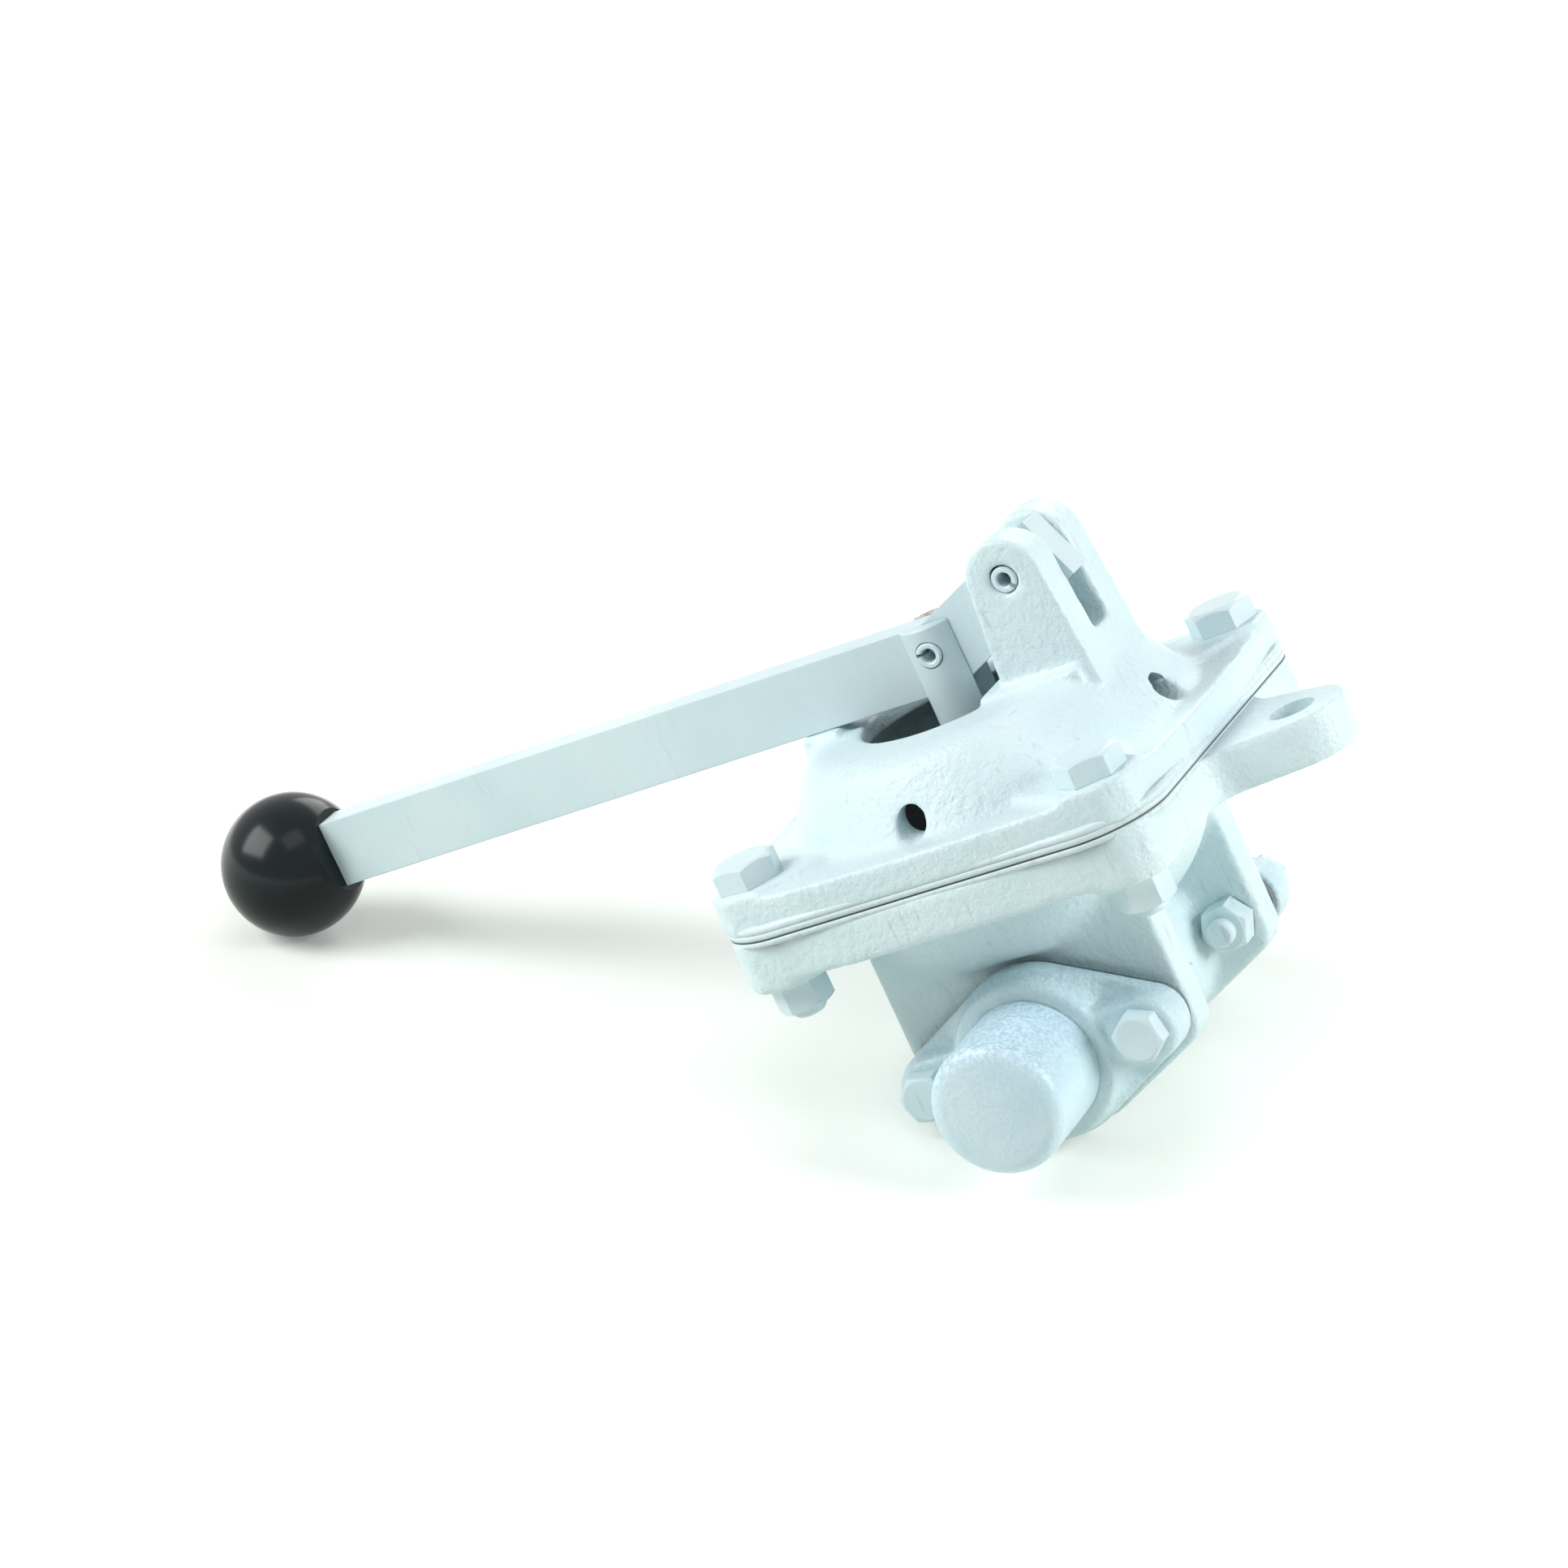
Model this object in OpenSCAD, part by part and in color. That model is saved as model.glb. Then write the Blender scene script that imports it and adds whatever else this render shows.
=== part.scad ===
// Manual diaphragm bilge pump: two cast casing halves clamp a rubber diaphragm,
// a cranked flat-bar lever lifts the pull rod, and two clack valves sit in the ports.
// Origin: centre of the mounting lug's hole, on the lug's upper face.
// +X runs from the pump's axis to the lug, the handle points to -X, the ports face -Y and +Y.

/* [Casing halves] */
// Distance between neighbouring cover bolts, along X and along Y
bolt_pitch = 138; // [126:1:150]
// Material outside the cover bolts' centres, out to the flange's edge
flange_margin = 19; // [17:0.5:24]
// Corner radius of the flange
flange_corner_r = 28; // [20:1:34]
// Radius of the slight outward bow of each flange edge
flange_bow_r = 640; // [400:20:2000]
// Thickness of the top cover's flange between the bolts
cover_flange_t = 12; // [9:0.5:16]
// Height of the spot-faced bolt bosses above the cover's flange
boss_rise = 2.5; // [1:0.5:5]
// Radius of the bolt bosses
boss_r = 17; // [14:0.5:18]
// Thickness of the lower casing's flange and of its lug
casing_flange_t = 17; // [14:0.5:22]
// Height of the bosses under the casing's flange, where the cover's nuts sit
nut_boss_rise = 3; // [1:0.5:4]
// Radius of the chamber, which is the diaphragm's free radius
chamber_r = 63; // [60:0.5:64]
// Outer radius of the bowl just under the casing's flange
bowl_r = 65; // [62:0.5:68]
// Depth of the bowl's outside below the casing's flange
bowl_depth = 44; // [40:1:50]
// Depth under the flange at which the bowl passes into the valve chest and the port plates
bowl_cut_h = 33; // [31:0.5:34]
// Wall thickness of the bowl and the valve chest
casing_wall = 6; // [5:0.5:8]

/* [Dome] */
// Radius of the dome's outside at its foot
dome_foot_r = 80; // [78:0.5:82]
// Lean of the dome's wall from upright
dome_lean = 33; // [28:1:36]
// Height of the dome's top above the cover's lower face
dome_h = 38.5; // [36:0.5:42]
// Radius of the dome's rounded shoulder
dome_round_r = 13; // [8:0.5:15]
// Wall thickness of the dome
dome_wall = 7; // [5:0.5:8]
// Radius of the opening that the pull rod works in
opening_r = 36; // [30:0.5:38]
// Offset of that opening from the pump's axis, towards the handle
opening_shift = 3; // [0:0.5:5]
// Diameter of the four drain holes in the dome's wall
drain_d = 11; // [8:0.5:13]
// Height of the drain holes above the cover's lower face
drain_h = 17.5; // [17:0.5:20]

/* [Lever bracket] */
// Distance from the pump's axis to the lever's pivot
pivot_x = 44; // [40:0.5:48]
// Height of the lever's pivot above the cover's lower face
pivot_h = 76.5; // [72:0.5:82]
// Radius of the rounded ear tops
ear_r = 14.5; // [12:0.5:17]
// Thickness of one ear
ear_t = 15.5; // [10:0.5:18]
// Width of the ears' foot along X
ear_foot_w = 38; // [34:1:42]
// Height of the slot's floor above the cover's lower face
slot_floor_h = 47; // [44:0.5:50]
// Border of the bracket's foot pad towards the rod
pad_border = 7; // [4:0.5:8]
// Border of that pad beside each ear
pad_side = 4; // [2:0.5:6]
// Height of that pad above the dome's top
pad_rise = 2; // [1:0.5:3]
// Width of the rest that stops the lowered lever
stop_w = 20; // [14:1:26]
// Length of that rest along the lever
stop_len = 16; // [10:1:20]

/* [Mounting lug] */
// Distance from the pump's axis to the lug's hole
lug_reach = 113; // [108:1:122]
// Diameter of the lug's hole
lug_hole_d = 17; // [12:0.5:20]
// Radius of the lug's rounded end
lug_end_r = 19; // [16:0.5:22]
// Half width of the lug where it leaves the flange
lug_root_half = 25; // [22:1:32]
// Radius of the fillets between the lug and the flange
lug_fillet_r = 12; // [6:1:16]

/* [Diaphragm and plates] */
// Thickness of the rubber diaphragm
diaphragm_t = 3; // [2:0.5:4]
// Recess of the diaphragm's edge behind the flanges' edges
rim_recess = 1; // [0.5:0.5:2]
// Radius of the two clamping plates
plate_r = 40; // [34:1:44]
// Thickness of each clamping plate
plate_t = 5; // [4:0.5:7]

/* [Pull rod] */
// Diameter of the pull rod
rod_d = 24; // [22:0.5:28]
// Height of the rod's top above the rod pin
rod_top = 10; // [8:0.5:12]
// Depth of the rod's slot below the rod pin
rod_slot_depth = 24; // [23:0.5:28]
// Diameter of the threaded stud under the rod
stud_d = 16; // [12:1:18]
// Thickness of the washer under the plates
washer_t = 2.5; // [1.5:0.5:4]

/* [Lever] */
// Height of the flat bar
bar_h = 25; // [22:0.5:28]
// Thickness of the flat bar
bar_t = 13; // [10:0.5:14]
// Distance of both pin holes from the bar's upper edge
pin_edge = 9.5; // [8.5:0.5:12.5]
// Rise of the pivot above the rod pin with the lever down
crank_rise = 19.5; // [16:0.5:22]
// Length of the bar past the pivot
bar_tail = 12.5; // [11:0.5:14]
// Distance from the rod pin to the centre of the ball knob
lever_reach = 287; // [240:1:320]
// Diameter of the ball knob
ball_d = 54; // [48:1:58]
// Distance of the knob's flat from its centre
ball_flat = 22; // [20:0.5:23]
// Depth of the bar's socket in the knob, from the flat
ball_socket = 24; // [16:1:28]
// Diameter of the slotted spring pins
pin_d = 10; // [8:0.5:11]
// Wall thickness of the spring pins
pin_wall = 2; // [1.5:0.25:2.5]
// Width of the spring pins' slit
pin_slit = 1.4; // [0.8:0.2:2]
// Chamfer at the mouth of each pin hole
pin_chamfer = 0.8; // [0.4:0.2:1.2]

/* [Ports] */
// Depth of the port axis below the casing's upper face
port_drop = 76; // [74:1:80]
// Distance from the pump's axis to the outer face of a port plate
plate_face = 45.5; // [44:0.5:50]
// Thickness of a port plate
port_plate_t = 14; // [11:0.5:15]
// Width of a port plate outside its bolts' centres, each side
port_margin = 11.5; // [10.5:0.5:14]
// Slope of the plate's lower edges
plate_v_angle = 25; // [20:1:30]
// Distance from the port axis to the plate's lower edges
plate_v_r = 34; // [33:0.5:36]
// Radius of the plate's lower corners
plate_corner_r = 10; // [6:1:14]
// Radial room of the flat machined for the pipe flange where the bowl bulges past the plate
spot_room = 1.5; // [0.5:0.5:3]
// Room between the valve chest's outside and a flange nut
nut_room = 1; // [0.5:0.5:2]
// Diameter of the port bore
port_bore_d = 44; // [42:0.5:46]
// Distance between the two bolts of a port
port_bolt_pitch = 86; // [82:1:90]
// Radius of the pipe flange round the port
flange_mid_r = 32; // [31:0.5:34]
// Radius of the pipe flange's two ends
flange_end_r = 12.5; // [11.5:0.5:14]
// Thickness of the pipe flange at its hub
pipe_flange_t = 17; // [15:0.5:20]
// Radius of the pipe flange's hub
flange_hub_r = 30; // [28:0.5:31]
// Depth of the pipe flange's bolt pads below its hub's face
pad_drop = 2.5; // [1:0.5:4]
// Thickness of the pipe flange's thin rim
flange_rim_t = 5; // [4:0.5:8]
// Radius of the hollow between the rim and the raised pads
flange_scoop_r = 9; // [5:0.5:9]
// Rounding of the raised hub's and pads' upper edges
flange_edge_r = 2.5; // [1:0.5:3]
// Diameter of the pipe stub's reduced end in the flange
pipe_tail_d = 46; // [44:0.5:47]
// Thickness of the flat gasket under a pipe flange
gasket_t = 3; // [1:0.5:4]
// How far the gasket's edge lies inside the pipe flange's outline
gasket_recess = 1.5; // [0.5:0.5:2.5]
// Outside diameter of the pipe stubs
pipe_d = 48.3; // [46:0.1:50]
// Wall thickness of the pipe stubs
pipe_wall = 3.5; // [3:0.1:4]
// Depth of the pipe stub in its flange
pipe_seat = 12; // [8:1:14]
// Free length of a pipe stub outside its boss, without its cap
pipe_free = 36.5; // [20:0.5:50]
// Thickness of the blanking cap's disc
cap_t = 4; // [2:0.5:5]
// Depth of the blanking cap's spigot in the pipe
cap_spigot = 8; // [5:1:14]

/* [Valves] */
// Inner diameter of a valve seat ring
seat_d = 25; // [20:0.5:25]
// Thickness of a valve seat ring
seat_t = 6; // [5:0.5:8]
// Diameter of the clack
clack_d = 32; // [29:0.5:33]
// Thickness of the clack's metal disc
clack_t = 3; // [2:0.5:4]
// Thickness of the clack's rubber facing
facing_t = 2; // [1.5:0.5:3]
// Diameter of the clack's hinge pin
hinge_d = 3; // [2.5:0.25:3.5]
// Lift of the clack's facing off its seat
clack_off = 0.2; // [0.1:0.05:0.4]

/* [Fasteners] */
// Nominal diameter of the hexagon bolts
bolt_d = 12; // [10:1:12]
// Width across flats of the bolt heads and nuts
hex_af = 18; // [17:0.5:19]
// Height of a bolt head
head_h = 7.5; // [6:0.5:9]
// Height of a nut
nut_h = 10.8; // [8:0.2:12]
// Width across flats of the rod nut
rod_nut_af = 24; // [22:0.5:27]
// Height of the rod nut
rod_nut_h = 10; // [8:0.5:13]
// Length of a bolt's end past its nut
bolt_tip = 3; // [1:0.5:6]

/* [Clearances] */
// Gap between the lever's faces and the slots it works in, each side
slot_gap = 0.3; // [0.2:0.05:0.6]
// Radial running clearance of the lever on its pins
pin_gap = 0.05; // [0.02:0.01:0.1]
// Radial clearance of a bolt in its hole
bolt_gap = 0.5; // [0.3:0.1:0.7]
// Gap between the lowered lever and its stop
stop_gap = 0.2; // [0.1:0.05:0.4]
// Radial gap of the washer on its stud
washer_gap = 0.1; // [0.05:0.05:0.3]
// Gap between the clack's knuckle and the lugs beside it
hinge_gap = 0.4; // [0.3:0.1:0.6]

/* [Hidden] */

// Colours of the finishes
paint = [0.80, 0.87, 0.88];
rubber = [0.13, 0.13, 0.13];
steel = [0.62, 0.63, 0.64];
bronze = [0.66, 0.50, 0.28];
black_gloss = [0.05, 0.06, 0.06];

// Steps of a full circle on large turned faces, on small ones and on drawn arcs
fine = 120;
small = 48;
arc_steps = 8;
$fn = small;
// Overlap of a cutter past the face that it opens
over = 1;
// How far a straight side starts inside the round end that it meets
inset = 0.02;

// Flange outline and levels
axis_x = -lug_reach;
flange_half = bolt_pitch / 2 + flange_margin;
cover_z = diaphragm_t;
cover_top_z = cover_z + cover_flange_t;
boss_z = cover_top_z + boss_rise;
casing_foot_z = -casing_flange_t;
nut_seat_z = casing_foot_z - nut_boss_rise;
dome_top_z = cover_z + dome_h;
port_z = -port_drop;
bowl_cut_z = casing_foot_z - bowl_cut_h;

// Lever geometry: both pins lie on the crank's line
pivot_z = cover_z + pivot_h;
pin_z = pivot_z - crank_rise;
crank_angle = atan2(crank_rise, pivot_x);
crank_len = sqrt(pivot_x * pivot_x + crank_rise * crank_rise);
slot_w = bar_t + 2 * slot_gap;
bar_top_z = pin_z + pin_edge;
bar_foot_z = bar_top_z - bar_h;
ear_outer = slot_w / 2 + ear_t;

// Diaphragm centre with the lever down, and what is clamped to it
hub_z = -crank_rise;
rod_foot_z = hub_z + diaphragm_t + plate_t;
nut_face_z = hub_z - plate_t - washer_t;
stud_end_z = nut_face_z - rod_nut_h - bolt_tip;
rod_hole_d = pin_d + 2 * pin_gap;

// Ports: distances outward from the pump's axis
plate_back = plate_face - port_plate_t;
gasket_face = plate_face + gasket_t;
flange_face = gasket_face + pipe_flange_t;
pad_face = flange_face - pad_drop;
pipe_start = flange_face - pipe_seat;
pipe_end = flange_face + pipe_free;
port_plate_half = port_bolt_pitch / 2 + port_margin;
chest_r = port_bolt_pitch / 2 - hex_af / 2 - nut_room;
// Turn of the two bolt heads of a port
port_head_turn = [51, 40];
bolt_hole_d = bolt_d + 2 * bolt_gap;
pipe_bore_d = pipe_d - 2 * pipe_wall;

// Points of an arc about (cx, cy) from angle a0 to a1
function arc(cx, cy, r, a0, a1, n = arc_steps) =
    [for (i = [0:n]) let (a = a0 + (a1 - a0) * i / n) [cx + r * cos(a), cy + r * sin(a)]];

// Moves the pump's own frame, with its axis at x = 0, to the lug's frame
module on_pump() {
    translate([axis_x, 0, 0]) children();
}

// Cylinder along Y with a widened mouth at both ends, to cut a pin hole through a width
module pin_hole(width) {
    rotate([90, 0, 0]) {
        cylinder(d = pin_d, h = width + 2 * over, center = true);
        for (m = [0, 1]) mirror([0, 0, m]) translate([0, 0, width / 2 - pin_chamfer])
            cylinder(d1 = pin_d, d2 = pin_d + 2 * pin_chamfer + 2 * over, h = pin_chamfer + over);
    }
}

// Places children at the four cover bolts
module at_cover_bolts() {
    for (sx = [-1, 1], sy = [-1, 1])
        translate([sx * bolt_pitch / 2, sy * bolt_pitch / 2, 0]) children();
}

// Square flange plan with round corners and slightly bowed edges
module flange_plan(grow = 0) {
    half = flange_half + grow;
    r = flange_corner_r + grow;
    intersection() {
        union() {
            square([2 * half, 2 * (half - r)], center = true);
            square([2 * (half - r), 2 * half], center = true);
            for (sx = [-1, 1], sy = [-1, 1])
                translate([sx * (half - r), sy * (half - r)]) circle(r = r, $fn = fine);
        }
        translate([half - flange_bow_r, 0]) circle(r = flange_bow_r, $fn = 6 * fine);
        translate([flange_bow_r - half, 0]) circle(r = flange_bow_r, $fn = 6 * fine);
        translate([0, half - flange_bow_r]) circle(r = flange_bow_r, $fn = 6 * fine);
        translate([0, flange_bow_r - half]) circle(r = flange_bow_r, $fn = 6 * fine);
    }
}

// Outside of the dome: a foot fillet, a leaning wall and a rounded shoulder, all tangent
foot_fillet = 5;
function dome_wall_r(z) =
    dome_foot_r - foot_fillet / cos(dome_lean) - (z - cover_top_z - foot_fillet) * tan(dome_lean);
dome_round_z = dome_top_z - dome_round_r;
dome_flat_r = dome_wall_r(dome_round_z) - dome_round_r / cos(dome_lean);
function dome_outline() =
    concat([[0, cover_top_z - over], [dome_foot_r, cover_top_z - over]],
           arc(dome_foot_r, cover_top_z + foot_fillet, foot_fillet, -90, dome_lean - 180),
           arc(dome_flat_r, dome_round_z, dome_round_r, dome_lean, 90),
           [[0, dome_top_z]]);

// Inside of the dome, one wall further in
roof_z = dome_top_z - dome_wall;
inner_shift = dome_wall / cos(dome_lean);
function dome_hollow() =
    let (meet_z = cover_top_z + foot_fillet
                  + (dome_wall_r(cover_top_z + foot_fillet) - inner_shift - chamber_r) / tan(dome_lean))
    concat([[0, cover_z - over], [chamber_r, cover_z - over], [chamber_r, meet_z]],
           arc(dome_flat_r, dome_round_z, dome_round_r - dome_wall, dome_lean, 90, 4),
           [[0, roof_z]]);

// Pointed pad that carries each bolt boss over to the dome
pad_tip = 35;
module boss_pad() {
    b = bolt_pitch / 2;
    linear_extrude(boss_rise + over)
        polygon([[pad_tip, b - 3], [b - 4, b + boss_r - 2], [b + boss_r - 2, b - 4], [b - 3, pad_tip]]);
    translate([b, b, 0]) cylinder(r = boss_r, h = boss_rise + over, $fn = fine);
}

// One ear of the lever bracket, drawn in the X-Z plane
module ear_plan() {
    foot_z = roof_z;
    rise = pivot_z - foot_z;
    half = ear_foot_w / 2;
    // Angle at which the side line touches the round top
    reach = sqrt(half * half + rise * rise);
    touch = acos(ear_r / reach) - atan2(rise, half);
    polygon([[pivot_x - half, foot_z], [pivot_x - ear_r * cos(touch), pivot_z + ear_r * sin(touch)],
             [pivot_x + ear_r * cos(touch), pivot_z + ear_r * sin(touch)], [pivot_x + half, foot_z]]);
    translate([pivot_x, pivot_z]) circle(r = ear_r, $fn = fine);
}

// Upper half of the casing: flange, vented dome, lever bracket and lever stop
pad_left = pivot_x - ear_foot_w / 2 - pad_border;
pad_half = ear_outer + pad_side;
stop_top_z = bar_foot_z - stop_gap;
module cover_casting() {
    translate([0, 0, cover_z]) linear_extrude(cover_flange_t) flange_plan();
    for (sx = [0, 1], sy = [0, 1]) mirror([sx, 0, 0]) mirror([0, sy, 0]) intersection() {
        translate([0, 0, cover_top_z - over]) boss_pad();
        translate([0, 0, cover_z]) linear_extrude(cover_top_z) flange_plan();
    }
    rotate_extrude($fn = fine) polygon(dome_outline());
    // Foot pad of the bracket, rounded with the dome
    intersection() {
        translate([pad_left, -pad_half, roof_z])
            cube([2 * pivot_x, 2 * pad_half, dome_top_z + pad_rise - roof_z]);
        cylinder(r = dome_flat_r + 0.75 * dome_round_r, h = 2 * dome_top_z, $fn = fine);
    }
    rotate([90, 0, 0]) linear_extrude(2 * ear_outer, center = true) ear_plan();
    stop_x = dome_wall_r(roof_z) - pad_rise;
    translate([-stop_x, -stop_w / 2, dome_round_z]) cube([stop_len, stop_w, stop_top_z - dome_round_z]);
}

// Chamber, rod opening, drains, bolt holes, lever slot and pivot hole
module cover_cuts() {
    rotate_extrude($fn = fine) polygon(dome_hollow());
    intersection() {
        translate([-opening_shift, 0, roof_z - over]) cylinder(r = opening_r, h = 2 * dome_wall, $fn = fine);
        translate([pad_left - 2 * opening_r, -opening_r, roof_z - 2 * over])
            cube([2 * opening_r, 2 * opening_r, 3 * dome_wall]);
    }
    for (a = [0:90:270]) rotate([0, 0, a]) translate([dome_flat_r - over, 0, cover_z + drain_h])
        rotate([0, 90, 0]) cylinder(d = drain_d, h = dome_foot_r);
    at_cover_bolts() translate([0, 0, cover_z - over]) cylinder(d = bolt_hole_d, h = 2 * cover_top_z);
    translate([0, -slot_w / 2, cover_z + slot_floor_h]) cube([2 * pivot_x, slot_w, pivot_h]);
    translate([pivot_x, 0, pivot_z]) pin_hole(2 * ear_outer);
}

module top_cover() {
    color(paint) on_pump() difference() {
        cover_casting();
        cover_cuts();
    }
}

// Side limits of the bowl, which turns square where the port plates face it
module bowl_limit(inset) {
    knee_y = 39;
    knee_r = bowl_r - knee_y - inset;
    knee_z = casing_foot_z - 2;
    low_y = plate_face - (inset > 0 ? port_plate_t : 0);
    sweep = acos(min(1, max(0, (low_y - knee_y) / knee_r)));
    right = concat([[bowl_r - inset + 0.01, over + casing_flange_t]], arc(knee_y, knee_z, knee_r, 0, -sweep),
                   [[low_y, -2 * port_drop]]);
    left = [for (i = [len(right) - 1:-1:0]) [-right[i][0], right[i][1]]];
    rotate([90, 0, 90]) linear_extrude(4 * bowl_r, center = true) polygon(concat(right, left));
}

// Half ellipse that turns into the bowl, its top raised by the given amount
module bowl_form(inset, raised) {
    a = bowl_r - inset;
    b = bowl_depth - inset;
    steps = 16;
    points = [for (i = [0:steps]) [a * cos(90 * i / steps), casing_foot_z - b * sin(90 * i / steps)]];
    intersection() {
        rotate_extrude($fn = fine)
            polygon(concat([[0, casing_foot_z + raised], [a, casing_foot_z + raised]], points));
        bowl_limit(inset);
    }
}

// Port plate: straight sides, round lower corners and a V-shaped foot
module port_plate_plan() {
    tilt = 90 - plate_v_angle;
    corner_x = port_plate_half - plate_corner_r;
    corner_z = port_z - (plate_v_r - plate_corner_r - corner_x * cos(tilt)) / sin(tilt);
    right = concat([[port_plate_half, casing_foot_z]],
                   arc(corner_x, corner_z, plate_corner_r, 0, -tilt),
                   arc(0, port_z, plate_v_r, -tilt, -90));
    left = [for (i = [len(right) - 2:-1:0]) [-right[i][0], right[i][1]]];
    polygon(concat(right, left));
}

// Lug: tapered arm with a round end and a fillet on each side of its root
module lug_arm() {
    lean = asin((lug_root_half - lug_end_r) / (lug_reach - flange_half));
    tip_x = lug_reach + lug_end_r * sin(lean);
    tip_y = lug_end_r * cos(lean) - inset;
    // Fillet circle: tangent to the lug's side and to the flange's straight edge
    edge_x = flange_half - 1;
    side_y = tip_y + (tip_x - edge_x - lug_fillet_r) * tan(lean);
    fillet_x = edge_x + lug_fillet_r;
    fillet_y = side_y + lug_fillet_r / cos(lean);
    root_x = edge_x - lug_fillet_r;
    half_side = concat([[root_x, fillet_y], [edge_x, fillet_y]],
                       arc(fillet_x, fillet_y, lug_fillet_r, 180, 270 - lean));
    upper = concat(half_side, [[tip_x, tip_y]]);
    lower = [for (i = [len(upper) - 1:-1:0]) [upper[i][0], -upper[i][1]]];
    linear_extrude(casing_flange_t) polygon(concat(upper, lower));
    translate([lug_reach, 0, 0]) cylinder(r = lug_end_r, h = casing_flange_t, $fn = fine);
}

// Flange ring with the lug and a boss under each cover bolt
module lower_casing() {
    color(paint) on_pump() difference() {
        union() {
            translate([0, 0, casing_foot_z]) linear_extrude(casing_flange_t) flange_plan();
            translate([0, 0, casing_foot_z]) lug_arm();
            for (sx = [0, 1], sy = [0, 1]) mirror([sx, 0, 0]) mirror([0, sy, 0]) intersection() {
                translate([bolt_pitch / 2, bolt_pitch / 2, nut_seat_z])
                    cylinder(r = boss_r, h = nut_boss_rise + over, $fn = fine);
                translate([0, 0, nut_seat_z - over]) linear_extrude(casing_flange_t) flange_plan();
            }
        }
        translate([0, 0, casing_foot_z - over])
            cylinder(r = chamber_r, h = casing_flange_t + 2 * over, $fn = fine);
        at_cover_bolts() translate([0, 0, nut_seat_z - over])
            cylinder(d = bolt_hole_d, h = over - nut_seat_z + over);
        translate([lug_reach, 0, casing_foot_z - over])
            cylinder(d = lug_hole_d, h = casing_flange_t + 2 * over);
    }
}

// All that hangs under the flange ring: bowl, valve chest and both port plates
module casing_underside() {
    difference() {
        union() {
            bowl_form(0, 0);
            translate([0, 0, port_z]) rotate([90, 0, 0])
                cylinder(r = chest_r, h = 2 * plate_face - 2, center = true, $fn = fine);
            for (s = [-1, 1]) translate([0, s * (plate_face - port_plate_t / 2), 0]) rotate([90, 0, 0])
                linear_extrude(port_plate_t, center = true) port_plate_plan();
        }
        bowl_form(casing_wall, over);
        translate([0, 0, port_z]) rotate([90, 0, 0])
            cylinder(r = chest_r - casing_wall, h = 2 * plate_back, center = true, $fn = fine);
        translate([0, 0, port_z]) rotate([90, 0, 0])
            cylinder(d = port_bore_d, h = 2 * plate_face + 2 * over, center = true, $fn = fine);
        for (s = [-1, 1]) translate([s * port_bolt_pitch / 2, 0, port_z]) rotate([90, 0, 0])
            cylinder(d = bolt_hole_d, h = 2 * plate_face + 2 * over, center = true);
        for (s = [-1, 1]) translate([0, s * (plate_face + pipe_flange_t), port_z]) rotate([90, 0, 0])
            cylinder(r = flange_mid_r + spot_room, h = 2 * pipe_flange_t, center = true, $fn = fine);
    }
}

// Bowl with the upper parts of the port plates, down to the level where the chest begins
module casing_bowl() {
    color(paint) on_pump() intersection() {
        casing_underside();
        translate([-2 * bowl_r, -2 * bowl_r, bowl_cut_z]) cube(4 * bowl_r);
    }
}

// Valve chest between the two port plates
module valve_chest() {
    color(paint) on_pump() difference() {
        intersection() {
            union() {
                bowl_form(0, 0);
                translate([0, 0, port_z]) rotate([90, 0, 0])
                    cylinder(r = chest_r, h = 2 * plate_face, center = true, $fn = fine);
            }
            translate([-2 * bowl_r, -plate_back, bowl_cut_z - 4 * bowl_r])
                cube([4 * bowl_r, 2 * plate_back, 4 * bowl_r]);
        }
        bowl_form(casing_wall, over);
        translate([0, 0, port_z]) rotate([90, 0, 0])
            cylinder(r = chest_r - casing_wall, h = 2 * plate_face, center = true, $fn = fine);
    }
}

// Lower part of a port plate, which holds the valve seat and the port's bolts
module port_plate(side) {
    color(paint) on_pump() intersection() {
        casing_underside();
        translate([-2 * bowl_r, side < 0 ? -plate_back - 2 * bowl_r : plate_back, bowl_cut_z - 4 * bowl_r])
            cube([4 * bowl_r, 2 * bowl_r, 4 * bowl_r]);
    }
}

// Rubber diaphragm: clamped border, one rolled convolution and a flat hub
module diaphragm() {
    roll_in = plate_r + 2;
    roll_out = chamber_r - 2;
    steps = 12;
    function roll_z(t) = hub_z * (1 + cos(180 * t)) / 2;
    low = concat([for (i = [0:steps]) let (t = i / steps) [roll_in + (roll_out - roll_in) * t, roll_z(t)]],
                 [[roll_out + over, 0]]);
    high = [for (i = [steps + 1:-1:0]) [low[i][0], low[i][1] + diaphragm_t]];
    color(rubber) on_pump() difference() {
        union() {
            linear_extrude(diaphragm_t) difference() {
                flange_plan(-rim_recess);
                circle(r = roll_out, $fn = fine);
            }
            rotate_extrude($fn = fine) polygon(concat([[0, hub_z]], low, high, [[0, hub_z + diaphragm_t]]));
        }
        at_cover_bolts() translate([0, 0, -over]) cylinder(d = bolt_hole_d, h = diaphragm_t + 2 * over);
        translate([0, 0, hub_z - over]) cylinder(d = stud_d, h = diaphragm_t + 2 * over);
    }
}

// Clamping plate with a rounded rim and a centre hole, its flat face at z = 0
module clamp_plate() {
    rotate_extrude($fn = fine)
        polygon(concat([[stud_d / 2, 0], [plate_r - 2, 0]], arc(plate_r - 2, 2, 2, -90, 0, 4),
                       [[plate_r, plate_t - 2], [plate_r - 5, plate_t], [stud_d / 2, plate_t]]));
}

module upper_plate() {
    color(steel) on_pump() translate([0, 0, hub_z + diaphragm_t]) clamp_plate();
}

module lower_plate() {
    color(steel) on_pump() translate([0, 0, hub_z]) mirror([0, 0, 1]) clamp_plate();
}

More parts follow.
